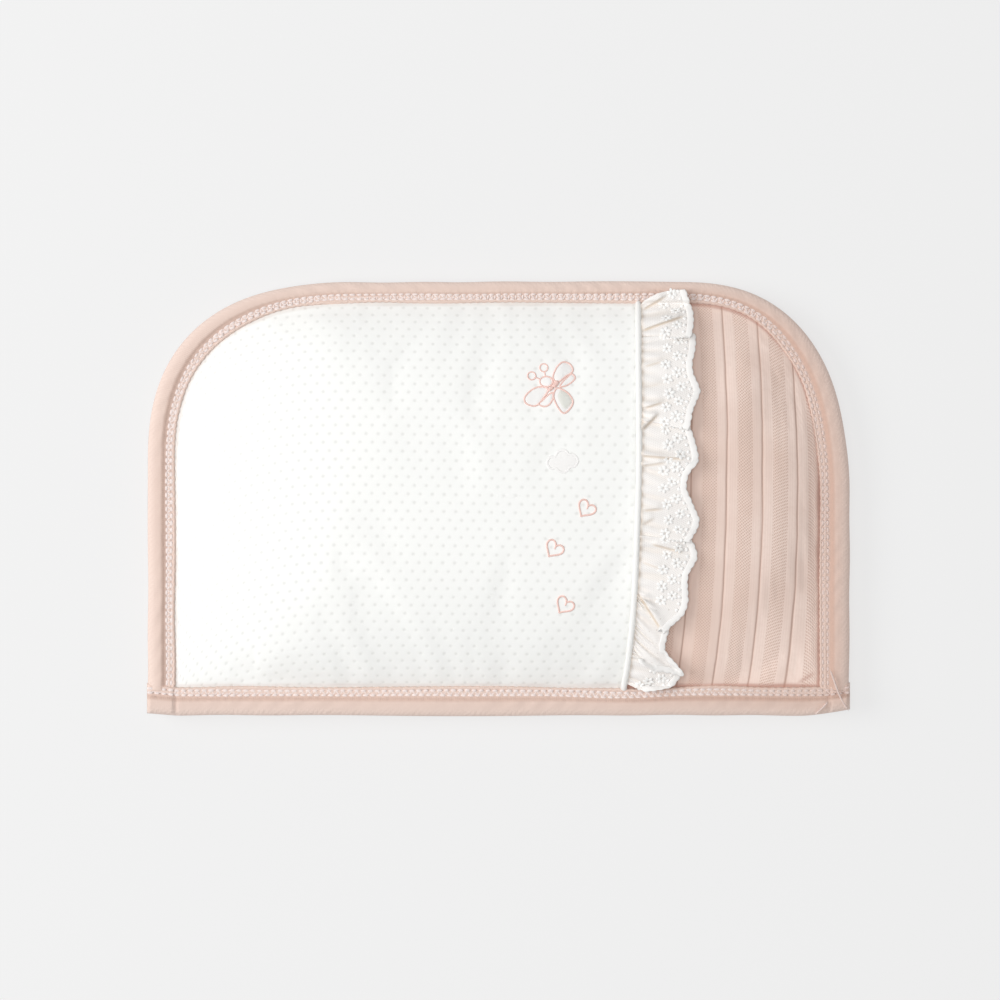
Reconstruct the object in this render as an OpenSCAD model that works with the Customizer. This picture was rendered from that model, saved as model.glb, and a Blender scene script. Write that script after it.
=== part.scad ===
// A flat, dome-shaped padded pillow lying on its back, with its decorated front facing up.
// X runs from side to side, Y from the straight edge towards the top of the dome, Z out of the front.
// The origin is under the middle of the pillow, on the surface that it lies on.

/* [Overall size] */
// Width from side to side
pillow_w = 320; // [280:1:400]
// Height from the straight edge to the top of the dome
pillow_h = 198; // [175:1:250]
// Rise of the padded front above the bound edge
front_crown = 21; // [14:1:32]
// Drop of the padded back below the bound edge
back_drop = 10; // [6:1:16]

/* [Outline] */
// Width of the rounded top left corner
left_corner_w = 97; // [70:1:110]
// Height of the rounded top left corner
left_corner_h = 84; // [60:1:110]
// Width of the rounded top right corner
right_corner_w = 77; // [70:1:110]
// Height of the rounded top right corner
right_corner_h = 104; // [60:1:110]
// Power of the corner curve: 2 is an ellipse, and more is squarer
corner_power = 2.5; // [2:0.1:3.5]

/* [Layers] */
// Thickness of the cover fabrics
cover_t = 0.8; // [0.5:0.1:1.2]
// Thickness of the wadding where the binding squeezes it flat
edge_wadding_t = 1; // [0.8:0.1:1.6]

/* [Binding] */
// Finished width of the binding up each side
side_binding_w = 13; // [9:0.5:17]
// Finished width of the binding over the top of the dome
top_binding_w = 10; // [8:0.5:15]
// Finished width of the binding along the straight edge
bottom_binding_w = 13.5; // [9:0.5:17]
// Half thickness of the rolled binding at its fattest
binding_puff = 3.6; // [3:0.1:5]
// Length of the folded left end of the bottom binding
left_fold_w = 12.5; // [6:0.5:16]
// Length of the folded right end of the bottom binding
right_fold_w = 9; // [6:0.5:16]

/* [Stitching] */
// Length of one coverstitch along its row
stitch_pitch = 3.2; // [2.4:0.1:5]
// Distance between the two needle rows
row_gap = 2.1; // [1.5:0.1:3]
// Distance of the inner needle row from the binding's inner edge
row_inset = 1.8; // [1:0.1:3]

/* [Seam, piping and frill] */
// Place of the panel seam at the top, to the right of the middle
seam_top_x = 63.5; // [40:0.5:70]
// How far the seam swings to the left at the bottom
seam_swing = 6.4; // [0:0.2:10]
// Outer diameter of the piping
piping_d = 2.7; // [2.3:0.1:4]
// Width of the frill from the seam to its edge
frill_w = 25; // [15:0.5:32]
// Number of gathers along the frill
gathers = 13; // [8:1:18]
// Height of the gathers
gather_rise = 2.2; // [1:0.1:4]

/* [Embroidery] */
// Thickness of a satin-stitched outline
outline_t = 0.9; // [0.6:0.1:1.4]
// Size of one heart along its axis
heart_size = 8.4; // [5:0.1:12]

/* [Hidden] */

half_w = pillow_w / 2;
half_h = pillow_h / 2;
wadding_h = edge_wadding_t / 2;
mid_z = wadding_h + cover_t + back_drop;        // height of the bound edge's middle
flange_h = wadding_h + cover_t;                 // half thickness of the layers inside the binding
lip_gap = 0.1;                                  // room between a binding lip and the layers in it

// The padded field that the bindings frame
field_left = side_binding_w - half_w;
field_right = half_w - side_binding_w;
field_low = bottom_binding_w - half_h;
edge_run = 105;                                 // distance over which the sides rise to the full crown
side_power = 3;                                 // how quickly the sides rise
rise_power = 3.5;                               // how quickly the top and bottom rise
back_fill = 1.7;                                // the back is this much fuller than its flat resting face

// The layers' grid: columns run up the pillow and rows across it
left_columns = 12;
right_columns = 8;
rows = 18;
seam_left_gap = 1.2;                            // from the seam to the dotted panel's edge
seam_right_gap = 2.2;                           // from the seam to the ribbed panel's edge
allowance_w = 9;                                // width of the seam allowances under the ribbed panel
allowance_room = 1.5;                           // depth of the allowances' bed in the filling
tuck = 0.2;                                     // the layers stop this share of the binding from its edge

piping_wall = 0.3;
neck_h = 0.25;                                  // half width of the piping's neck
frill_t = 0.4;
frill_lift = 0.35;                              // room between the ribbed panel and the frill
thread_t = 0.7;
stitch_gap = 0.05;                              // room under a stitch, so that it only touches its cloth
satin_lift = 0.12;
satin_t = 0.55;
tail_d = 0.9;

ivory = "#F6F2EC";
dusty_pink = "#E2C9BD";
thread_white = "#F7EEE8";
salmon = "#EBBFB3";

function lerp(a, b, t) = a + (b - a) * t;
function clamp01(t) = min(1, max(0, t));

// ---------- Outline ----------

// The y of the dome's edge at x, a share q of the binding's width in from the outer edge
function dome_y(x, q) =
    let (
        left = x < 0,
        w = left ? left_corner_w : right_corner_w,
        h = left ? left_corner_h : right_corner_h,
        past = (abs(x) - (half_w - w)) / (w - q * side_binding_w)
    )
    half_h - h + (h - q * top_binding_w) * pow(1 - pow(clamp01(past), corner_power), 1 / corner_power);

// One corner of the outline, side -1 at the left and 1 at the right, at an angle up from the side
function corner_point(side, angle, q) =
    let (
        w = side < 0 ? left_corner_w : right_corner_w,
        h = side < 0 ? left_corner_h : right_corner_h
    )
    [side * (half_w - w + (w - q * side_binding_w) * pow(cos(angle), 2 / corner_power)),
     half_h - h + (h - q * top_binding_w) * pow(sin(angle), 2 / corner_power)];

// The side binding's stations, each a function of q: up the left side, over the dome, down the right
side_steps = 4;
corner_steps = 14;
top_steps = 4;
binding_end_y = field_low - 1.5;
function left_side_point(k, q) =
    [q * side_binding_w - half_w, lerp(binding_end_y, half_h - left_corner_h, k / side_steps)];
function right_side_point(k, q) =
    [half_w - q * side_binding_w, lerp(half_h - right_corner_h, binding_end_y, k / side_steps)];
function top_point(k, q) =
    [lerp(left_corner_w - half_w, half_w - right_corner_w, k / top_steps), half_h - q * top_binding_w];
function rim(q) = concat(
    [for (k = [0:side_steps - 1]) left_side_point(k, q)],
    [for (k = [0:corner_steps]) corner_point(-1, 90 * k / corner_steps, q)],
    [for (k = [1:top_steps - 1]) top_point(k, q)],
    [for (k = [0:corner_steps]) corner_point(1, 90 - 90 * k / corner_steps, q)],
    [for (k = [1:side_steps]) right_side_point(k, q)]);

// ---------- Heights ----------

// 0 at the edge of the padded field, rising to 1 in its middle
function fullness(x, y) =
    let (
        side_run = min(x - field_left, field_right - x) / edge_run,
        v = clamp01((y - field_low) / (dome_y(x, 1) - field_low))
    )
    (1 - pow(1 - clamp01(side_run), side_power)) * (1 - pow(abs(2 * v - 1), rise_power));
function filling_top(x, y) = mid_z + wadding_h + front_crown * fullness(x, y);
function filling_bottom(x, y) = mid_z - wadding_h - min(back_drop, back_fill * back_drop * fullness(x, y));
function face_z(x, y) = filling_top(x, y) + cover_t;
function on_face(x, y, lift) = [x, y, face_z(x, y) + lift];

// ---------- The layers' grid ----------

function seam_x(v) = seam_top_x - seam_swing * pow(1 - v, 4);
function row_share(j) = (1 - cos(180 * j / rows)) / 2;
seam_left_x = seam_top_x - seam_left_gap;
seam_right_x = seam_top_x + seam_right_gap;
allowance_x = seam_right_x + allowance_w;
column_xs = concat(
    [for (i = [0:left_columns]) lerp(seam_left_x, field_left, cos(90 * i / left_columns))],
    [seam_right_x, allowance_x],
    [for (i = [1:right_columns]) lerp(allowance_x, field_right, sin(90 * i / right_columns))]);
last_column = len(column_xs) - 1;
seam_column = left_columns;

// How much of the seam's swing a column takes: all of it at the seam, none at the sides
function swing_share(x) = x < seam_top_x
    ? (x - field_left) / (seam_left_x - field_left)
    : min(1, (field_right - x) / (field_right - allowance_x));
function field_point(i, v) =
    let (x = column_xs[i])
    [x - seam_swing * pow(1 - v, 4) * swing_share(x), lerp(field_low, dome_y(x, 1), v)];

// Grid points by column and row: -1 and one past the last are the flat flange inside the binding
flange_x = half_w - tuck * side_binding_w;
function grid_point(i, j) =
    let (
        in_i = min(last_column, max(0, i)),
        in_j = min(rows, max(0, j)),
        p = field_point(in_i, row_share(in_j)),
        side = i < 0 ? -1 : i > last_column ? 1 : 0,
        spread = (flange_x - (side == 0 ? 0.8 : 0.1)) / field_right,
        x = side == 0 ? (j == in_j ? p[0] : p[0] * spread) : side * flange_x,
        top_x = side == 0 ? x : side * (flange_x - 0.1)
    )
    j < 0 ? [x, tuck * bottom_binding_w - half_h]
    : j > rows ? [top_x, dome_y(top_x, tuck)]
    : [x, p[1]];
function in_field(i, j) = i >= 0 && i <= last_column && j >= 0 && j <= rows;

// ---------- Solids from sheets of points ----------

// A closed slab between two sheets of points of the same size; high lies on the outer side of low
module slab(high, low) {
    n = len(high);
    m = len(high[0]);
    below = n * m;
    function at(i, j) = i * m + j;
    top_faces = [for (i = [0:n - 2], j = [0:m - 2], f = [0, 1])
        f == 0 ? [at(i, j), at(i, j + 1), at(i + 1, j + 1)] : [at(i, j), at(i + 1, j + 1), at(i + 1, j)]];
    low_faces = [for (f = top_faces) [f[0] + below, f[2] + below, f[1] + below]];
    border = concat(
        [for (j = [0:m - 2]) at(0, j)],
        [for (i = [0:n - 2]) at(i, m - 1)],
        [for (j = [m - 1:-1:1]) at(n - 1, j)],
        [for (i = [n - 1:-1:1]) at(i, 0)]);
    count = len(border);
    walls = [for (k = [0:count - 1], f = [0, 1])
        let (a = border[k], b = border[(k + 1) % count])
        f == 0 ? [b, a, a + below] : [b, a + below, b + below]];
    polyhedron(points = concat([for (r = high) each r], [for (r = low) each r]),
               faces = concat(top_faces, low_faces, walls));
}

// A tube through rings of points, closed into a loop or capped at both ends
module tube(rings, loop = false) {
    n = len(rings);
    m = len(rings[0]);
    spans = loop ? n : n - 1;
    sides = [for (i = [0:spans - 1], j = [0:m - 1], f = [0, 1])
        let (a = i * m + j, b = i * m + (j + 1) % m, c = ((i + 1) % n) * m + (j + 1) % m, d = ((i + 1) % n) * m + j)
        f == 0 ? [a, b, c] : [a, c, d]];
    caps = loop ? [] : [[for (j = [m - 1:-1:0]) j], [for (j = [0:m - 1]) (n - 1) * m + j]];
    polyhedron(points = [for (r = rings) each r], faces = concat(sides, caps));
}

// A thin pad on the front face: rings of a rim drawn in towards a centre, with a flat thickness
module satin_patch(rim_points, centre) {
    m = len(rim_points);
    shrinks = [1, 0.55];
    levels = [satin_lift + satin_t, satin_lift];
    function ring(s, level) = [for (p = rim_points)
        let (q = centre + (p - centre) * s) on_face(q[0], q[1], level)];
    points = concat(
        [for (level = levels, s = shrinks) each ring(s, level)],
        [for (level = levels) on_face(centre[0], centre[1], level)]);
    function band(a, b, up) = [for (k = [0:m - 1], f = [0, 1])
        let (n = (k + 1) % m, t = f == 0 ? [a + k, b + k, b + n] : [a + k, b + n, a + n])
        up ? t : [t[2], t[1], t[0]]];
    function fan(ring_start, tip, up) = [for (k = [0:m - 1])
        let (n = (k + 1) % m) up ? [ring_start + k, tip, ring_start + n] : [ring_start + n, tip, ring_start + k]];
    polyhedron(points = points, faces = concat(
        band(0, m, true), fan(m, 4 * m, true),
        band(2 * m, 3 * m, false), fan(3 * m, 4 * m + 1, false),
        band(2 * m, 0, true)));
}

// A satin cord of diameter d laid along a path on the front face
module satin_line(path, d, loop = true, lift = satin_lift, sides = 6) {
    n = len(path);
    function next(k) = loop ? path[(k + 1) % n] : path[min(n - 1, k + 1)];
    function last(k) = loop ? path[(k + n - 1) % n] : path[max(0, k - 1)];
    tube([for (k = [0:n - 1])
        let (
            along = next(k) - last(k),
            side = [-along[1], along[0]] / norm(along),
            p = path[k]
        )
        [for (s = [0:sides - 1])
            let (a = 360 * s / sides, off = side * cos(a) * d / 2)
            on_face(p[0] + off[0], p[1] + off[1], 0)
                + [0, 0, face_z(p[0], p[1]) - face_z(p[0] + off[0], p[1] + off[1])
                         + lift + d / 2 + sin(a) * d / 2]]], loop);
}

// A teardrop path from a root, a length long and a width wide, pointing along an angle. Its taper is 0 for an
// ellipse; a narrow wing needs that, so that the two sides of its outline stay apart at the root.
function teardrop(root, angle, long, wide, taper = 0.5, steps = 16) = [for (k = [0:steps - 1])
    let (
        a = 360 * k / steps,
        x = long * (1 - cos(a)) / 2,
        y = wide / 2 * sin(a) * pow(sin(a / 2), taper)
    )
    root + [x * cos(angle) - y * sin(angle), x * sin(angle) + y * cos(angle)]];
function ellipse(centre, rx, ry, steps = 12) = [for (k = [0:steps - 1])
    centre + [rx * cos(360 * k / steps), ry * sin(360 * k / steps)]];

// ---------- Padding and cover panels ----------

// A layer of the grid between two height functions
module layer(first, last, high, low) {
    slab([for (i = [first:last]) [for (j = [rows + 1:-1:-1]) let (p = grid_point(i, j)) [p[0], p[1], high(i, j, p)]]],
         [for (i = [first:last]) [for (j = [rows + 1:-1:-1]) let (p = grid_point(i, j)) [p[0], p[1], low(i, j, p)]]]);
}

function front_under(i, j, p) = in_field(i, j) ? filling_top(p[0], p[1]) : mid_z + wadding_h;
function back_over(i, j, p) = in_field(i, j) ? filling_bottom(p[0], p[1]) : mid_z - wadding_h;

// The seam allowances lie in a shallow bed in the filling, from the seam to past their width
function in_bed(i, j) = in_field(i, j) && i >= seam_column && i <= seam_column + 2 && j > 0 && j < rows;
function padded_top(i, j, p) = front_under(i, j, p) - (in_bed(i, j) ? allowance_room : 0);

module filling() {
    color("#F2F2EE")
        layer(-1, last_column + 1, function(i, j, p) padded_top(i, j, p), function(i, j, p) back_over(i, j, p));
}

module back_panel() {
    color(ivory)
        layer(-1, last_column + 1, function(i, j, p) back_over(i, j, p),
              function(i, j, p) back_over(i, j, p) - cover_t);
}

module dotted_panel() {
    color("white")
        layer(-1, seam_column, function(i, j, p) front_under(i, j, p) + cover_t,
              function(i, j, p) front_under(i, j, p));
}

module ribbed_panel() {
    color(dusty_pink)
        layer(seam_column + 1, last_column + 1, function(i, j, p) front_under(i, j, p) + cover_t,
              function(i, j, p) front_under(i, j, p));
}

// ---------- Piping ----------

// A point of the seam at a share v up the field, s to its right and z above the panels' underside
function seam_point(v, s, z) =
    let (x = seam_x(v), y = lerp(field_low, dome_y(seam_top_x, 1), v))
    [x + s, y, filling_top(x + s, y) + z];
seam_rows = [for (j = [1:rows - 1]) row_share(j)];
piping_z = cover_t + piping_d / 2 - 0.35;
cord_r = piping_d / 2 - piping_wall;

module piping_cord() {
    sides = 8;
    color("white")
        tube([for (v = seam_rows) [for (k = [0:sides - 1])
            let (a = 360 * k / sides, c = seam_point(v, 0, piping_z))
            c + (cord_r - 0.05) * [cos(a), 0, sin(a)]]]);
}

// The strip folded round the cord: in from its edge, up the neck, over the cord, down and out again
module piping_cover() {
    mouth = 20;                                 // half the angle that the neck leaves open
    arc_steps = 12;
    function wrap(r, neck, high, low) = concat(
        [[allowance_w - 1.5, high], [neck, high]],
        [for (k = [0:arc_steps])
            let (a = lerp(mouth - 90, 270 - mouth, k / arc_steps)) [r * cos(a), piping_z + r * sin(a)]],
        [[-neck, low], [allowance_w - 1.5, low]]);
    outer = wrap(piping_d / 2, neck_h + 0.12, -0.75, -1.3);
    inner = wrap(cord_r, neck_h - 0.12, -0.98, -1.07);
    color("white")
        slab([for (v = seam_rows) [for (p = outer) seam_point(v, p[0], p[1])]],
             [for (v = seam_rows) [for (p = inner) seam_point(v, p[0], p[1])]]);
}

// ---------- Lace frill ----------

frill_stations = 5 * gathers;
function frill_v(k) = lerp(row_share(1), row_share(rows - 1), k / frill_stations);

// Reach of the frill's edge past the seam: scallops, and a slow drift from fold to fold
function frill_reach(k) = frill_w - 1.6 + 1.6 * sin(360 * 3.3 * k / frill_stations)
    - 1.4 * abs(cos(180 * gathers * k / frill_stations));

// Height of the frill over the ribbed panel, a share w of the way from the seam to its edge
function frill_wave(k, w) =
    gather_rise * pow(w, 0.6) * (1 + sin(360 * gathers * k / frill_stations + 40 * w)) / 2;
frill_start = seam_right_gap + 0.6;
function frill_point(k, w, lift) =
    let (
        s = lerp(frill_start, frill_reach(k), w),
        c = seam_point(frill_v(k), s, cover_t)
    )
    c + [0, 0, frill_lift + frill_wave(k, w) + lift];

module lace_frill() {
    shares = [0, 0.15, 0.35, 0.6, 0.85, 1];
    heading = seam_left_gap + 0.45;             // where the heading turns down into the seam
    function heading_path(side) =
        [[allowance_w - 2.5, -0.45], [heading, -0.45], [heading, cover_t + frill_lift + 0.2]];
    function shift(side) = side * frill_t / 2;
    function station(k, side) = concat(
        [let (p = heading_path(side)[0]) seam_point(frill_v(k), p[0], p[1] - shift(side) * 0.6),
         let (p = heading_path(side)[1]) seam_point(frill_v(k), p[0] - shift(side), p[1] - shift(side) * 0.6),
         let (p = heading_path(side)[2]) seam_point(frill_v(k), p[0] - shift(side), p[1] + shift(side))],
        [for (w = shares) frill_point(k, w, frill_t / 2 + shift(side))]);
    color("#F5F0E8")
        slab([for (k = [0:frill_stations]) station(k, 1)], [for (k = [0:frill_stations]) station(k, -1)]);
}

// The satin-stitched border just past the frill's edge
module frill_scallop_edge() {
    border_w = 1.6;
    border_t = 0.8;
    corners = [[0, 0], [1, 0], [1, 1], [0, 1]];
    color("white")
        tube([for (k = [0:frill_stations]) [for (c = corners)
            frill_point(k, 1, 0) + [0.05 + border_w * c[0], 0, border_t * (c[1] - 0.25)]]]);
}

// Five-petalled flowers on the frill, following its folds
module frill_flowers() {
    petals = 5;
    rim_steps = 2 * petals;
    flower_r = 2.2;
    flower_t = 0.35;
    flower_gap = 2.2 * flower_r + 3.6;
    seam_length = pillow_h - bottom_binding_w - top_binding_w;
    count = floor(seam_length / flower_gap);
    function at(k, w, lift) = frill_point(k, w, frill_t + 0.08 + lift);
    function spot(centre, n, r) =
        let (a = 360 * n / rim_steps, reach = r * (1 + 0.25 * cos(petals * a)))
        [centre[0] + reach * sin(a) * frill_stations / seam_length, centre[1] + reach * cos(a) / frill_w];
    color("white")
        for (n = [0:count - 1]) {
            centre = [lerp(3, frill_stations - 3, (n + 0.5) / count), n % 2 == 0 ? 0.42 : 0.68];
            rim_low = [for (s = [0:rim_steps - 1]) let (p = spot(centre, s, flower_r)) at(p[0], p[1], 0)];
            rim_high = [for (s = [0:rim_steps - 1]) let (p = spot(centre, s, flower_r)) at(p[0], p[1], flower_t)];
            hole_low = [for (s = [0:rim_steps - 1]) let (p = spot(centre, s, 0.5)) at(p[0], p[1], 0)];
            hole_high = [for (s = [0:rim_steps - 1]) let (p = spot(centre, s, 0.5)) at(p[0], p[1], flower_t)];
            rings = [for (s = [0:rim_steps - 1]) [rim_low[s], hole_low[s], hole_high[s], rim_high[s]]];
            tube(rings, loop = true);
        }
}

// ---------- Bindings ----------

// Half section of a binding: shares of its width from the outer edge, and outer heights over its middle
outer_section = [[1, 0.55], [0.93, 0.68], [0.78, 0.74], [0.55, 0.98], [0.3, 1], [0.1, 0.66], [0, 0]];
inner_section = [[1, 1], [0.93, 1], [0.78, 1], [0.55, 1], [0.4, 1], [0.17, 1], [0.15, 0]];
strip_puff = 1.12 * binding_puff;               // half thickness of the bottom binding
fold_puff = 1.35 * binding_puff;                // half thickness of its folded ends
cavity_h = flange_h + lip_gap;                  // half height of the space between a binding's lips
binding_t = 0.5;                                // least thickness of a binding's lips
function mirrored(section) =
    concat(section, [for (k = [len(section) - 2:-1:0]) [section[k][0], -section[k][1]]]);

// Outer height of a binding at a share q of its width, round a cavity except at the very edge
function section_top(q, puff, cavity) = q == 0 ? 0 : max(cavity + binding_t, puff * lookup(q, outer_section));
function side_top(q) = section_top(q, binding_puff, cavity_h);

// The ends of the side binding are pressed flat where the bottom binding covers them
pressed_h = cavity_h + binding_t;
end_cavity_h = pressed_h + lip_gap;
function pressed_z(z, k, last) = k == 0 || k == last ? sign(z) * min(abs(z), pressed_h) : z;

module side_binding() {
    shares_out = mirrored(outer_section);
    shares_in = mirrored(inner_section);
    rims_out = [for (p = shares_out) rim(p[0])];
    rims_in = [for (p = shares_in) rim(p[0])];
    last = len(rims_out[0]) - 1;
    color(dusty_pink)
        slab([for (k = [0:last]) [for (s = [len(shares_out) - 1:-1:0])
                let (p = rims_out[s][k], z = sign(shares_out[s][1]) * side_top(shares_out[s][0]))
                [p[0], p[1], mid_z + pressed_z(z, k, last)]]],
             [for (k = [0:last]) [for (s = [len(shares_in) - 1:-1:0])
                let (p = rims_in[s][k]) [p[0], p[1], mid_z + cavity_h * shares_in[s][1]]]]);
}

// The bottom binding's rolled outline over a width w, and the same with a cavity open to the field
function roll_outline(w, puff, cavity) =
    [for (p = mirrored(outer_section)) [p[0] * w, sign(p[1]) * section_top(p[0], puff, cavity)]];
function strip_outline(puff, cavity) =
    let (w = bottom_binding_w, wall = tuck * w - 0.4)
    concat(roll_outline(w, puff, cavity), [[w, -cavity], [wall, -cavity], [wall, cavity], [w, cavity]]);

module along_bottom(x0, x1, outline) {
    translate([x0, -half_h, mid_z])
        rotate([90, 0, 90])
            linear_extrude(x1 - x0)
                polygon(outline);
}

module bottom_binding() {
    end_wall = 0.8;
    end_outline = roll_outline(bottom_binding_w - 2, fold_puff, end_cavity_h);
    color("#EAD3C7") {
        along_bottom(left_fold_w - half_w, half_w - right_fold_w, strip_outline(strip_puff, cavity_h));
        along_bottom(end_wall - half_w, left_fold_w - half_w, strip_outline(fold_puff, end_cavity_h));
        along_bottom(half_w - right_fold_w, half_w - end_wall, strip_outline(fold_puff, end_cavity_h));
        along_bottom(-half_w, end_wall - half_w, end_outline);
        along_bottom(half_w - end_wall, half_w, end_outline);
    }
}

// ---------- Stitching ----------

stitch_long = 0.72 * stitch_pitch;

// Points at equal distances along a path
function lengths(path, k = 0, sum = 0, out = [0]) = k >= len(path) - 1 ? out
    : let (d = sum + norm(path[k + 1] - path[k])) lengths(path, k + 1, d, concat(out, [d]));
function walk(path, pitch) =
    let (ls = lengths(path), n = floor(ls[len(ls) - 1] / pitch))
    [for (k = [0:n - 1])
        let (
            d = (k + 0.5) * pitch,
            i = max([for (s = [0:len(path) - 2]) if (ls[s] <= d) s]),
            t = (d - ls[i]) / (ls[i + 1] - ls[i]),
            along = path[i + 1] - path[i]
        )
        [lerp(path[i], path[i + 1], t), atan2(along[1], along[0])]];

module stitch(at, angle, z) {
    translate([at[0], at[1], z])
        rotate([0, 0, angle])
            cube([stitch_long, thread_t, thread_t * 0.6], center = true);
}

module side_binding_stitches() {
    shares = [1 - row_inset / side_binding_w, 1 - (row_inset + row_gap) / side_binding_w];
    lift = thread_t * 0.3 + stitch_gap;
    color(thread_white)
        for (q = shares)
            for (s = walk([for (p = rim(q)) if (p[1] > field_low + 1) p], stitch_pitch))
                stitch(s[0], s[1], mid_z + side_top(q) + lift);
}

module bottom_binding_stitches() {
    shares = [for (row = [0, 1]) 1 - (row_inset + row * row_gap) / bottom_binding_w];
    lift = thread_t * 0.3 + stitch_gap;
    color(thread_white)
        for (q = shares) {
            y = q * bottom_binding_w - half_h;
            strip_z = section_top(q, strip_puff, cavity_h);
            fold_z = section_top(q, fold_puff, end_cavity_h);
            stretches = [
                [left_fold_w - half_w + 1, half_w - right_fold_w - 1, strip_z],
                [1 - half_w, left_fold_w - half_w - 0.5, fold_z],
                [half_w - right_fold_w + 0.5, half_w - 1, fold_z],
            ];
            for (run = stretches, s = walk([[run[0], y], [run[1], y]], stitch_pitch))
                stitch(s[0], s[1], mid_z + run[2] + lift);
        }
}

// Loose ends of the sewing thread at the lower right corner, lying on the binding
module thread_tails() {
    corner = [half_w, -half_h];
    tails = [
        [[-10, 21], [-8.5, 16], [-6, 11], [-3, 7], [-1.5, 3]],
        [[-11, 6], [-11.8, 4.5], [-13.4, 3.2], [-14.6, 2], [-15.5, 1]],
    ];
    sides = 6;
    rest_z = mid_z + fold_puff + tail_d / 2 + 0.1;
    color(thread_white)
        for (tail = tails)
            tube([for (k = [0:len(tail) - 1])
                let (
                    p = corner + tail[k],
                    along = tail[min(len(tail) - 1, k + 1)] - tail[max(0, k - 1)],
                    side = [-along[1], along[0]] / norm(along)
                )
                [for (s = [0:sides - 1])
                    let (a = 360 * s / sides, r = tail_d / 2)
                    [p[0] + side[0] * cos(a) * r, p[1] + side[1] * cos(a) * r, rest_z + sin(a) * r]]]);
}

// ---------- Embroidery ----------

// The insect's root, where its wings meet
root = [seam_top_x - 37.9, 51.5];
upper_wing = teardrop(root + [0.4, 1.1], 58, 11, 6.2);
crescent_wing = teardrop(root + [2.6, -0.7], 14, 7.2, 2.8, 0, 12);
lower_left_wing = teardrop(root + [-3.8, -2.4], 208, 10.4, 5.4);
lower_wing = teardrop(root + [-1.9, -4.1], 246, 6.6, 2.7, 0, 12);
grey_wing = teardrop(root + [1, -2.2], 300, 11.4, 6.2);
head_centre = root + [-4, 1.4];
head_r = [2.9, 2.3];
antenna_r = 1.8;
antenna_tips = [root + [-10.6, 4], root + [-5.1, 7.7]];

function centroid(path) = [for (k = [0, 1]) let (s = [for (p = path) p[k]]) (min(s) + max(s)) / 2];
function inset(path, share) = let (c = centroid(path)) [for (p = path) c + (p - c) * share];

module insect_wings() {
    color("white")
        for (wing = [upper_wing, lower_left_wing, lower_wing, crescent_wing])
            satin_patch(inset(wing, 0.72), centroid(wing));
}

module insect_grey_wing() {
    color("#E9EBE4") satin_patch(inset(grey_wing, 0.8), centroid(grey_wing));
}

module insect_outline() {
    color(salmon)
        for (wing = [upper_wing, lower_left_wing, lower_wing, crescent_wing, grey_wing])
            satin_line(wing, outline_t);
}

module insect_head() {
    color(salmon) satin_line(ellipse(head_centre, head_r[0], head_r[1]), outline_t * 0.8);
}

module insect_antennae() {
    color(salmon)
        for (tip = antenna_tips) {
            reach = norm(tip - head_centre);
            stem = (tip - head_centre) / reach;
            stem_end = reach - antenna_r - 0.6 * outline_t;
            satin_line(ellipse(tip, antenna_r, antenna_r, 10), outline_t * 0.8);
            satin_line([for (t = [0.53 * reach, stem_end]) head_centre + stem * t], outline_t * 0.7, loop = false);
        }
}

// The padded knot of satin stitches over the wings' roots
module insect_body_knot() {
    long = 3.2;
    color("#E6A59B")
        satin_line([for (t = [-1, -0.5, 0, 0.5, 1]) root + long * t * [0.7, -0.7]], 2, loop = false,
                   lift = satin_lift + outline_t);
}

module cloud_embroidery() {
    centre = [seam_top_x - 34.6, 16.7];
    steps = 20;
    bumps = 5;
    color("white")
        satin_line([for (k = [0:steps - 1])
            let (a = 360 * k / steps, r = 1 + 0.13 * abs(sin(bumps * a / 2)))
            centre + [6.2 * r * cos(a), 4.6 * r * sin(a)]], outline_t * 0.8);
}

// A heart's path about its middle: the notch points along an angle
function heart(centre, angle, size, steps = 18) = [for (k = [0:steps - 1])
    let (
        a = 360 * k / steps,
        x = 0.5 * size * pow(sin(a), 2) * sign(sin(a)),
        y = size * (13 * cos(a) - 5 * cos(2 * a) - 2 * cos(3 * a) - cos(4 * a)) / 32,
        turn = angle - 90
    )
    centre + [x * cos(turn) - y * sin(turn), x * sin(turn) + y * cos(turn)]];

module heart_outlines() {
    centres = [[seam_top_x - 23.9, -4.5], [seam_top_x - 38.4, -22.6], [seam_top_x - 33.6, -48.1]];
    notch_angle = 55;
    color(salmon)
        for (c = centres)
            satin_line(heart(c, notch_angle, heart_size), outline_t);
}

filling();
back_panel();
dotted_panel();
ribbed_panel();
piping_cord();
piping_cover();
lace_frill();
frill_scallop_edge();
frill_flowers();
side_binding();
bottom_binding();
side_binding_stitches();
bottom_binding_stitches();
insect_wings();
insect_grey_wing();
insect_outline();
insect_head();
insect_antennae();
insect_body_knot();
cloud_embroidery();
heart_outlines();
thread_tails();
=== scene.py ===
"""A dome-shaped baby pillow lying face up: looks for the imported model.

Sizes here are in millimetres in the model's frame, and each mesh is made in metres.
"""

import logging
import math
from dataclasses import dataclass
from enum import Enum

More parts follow.
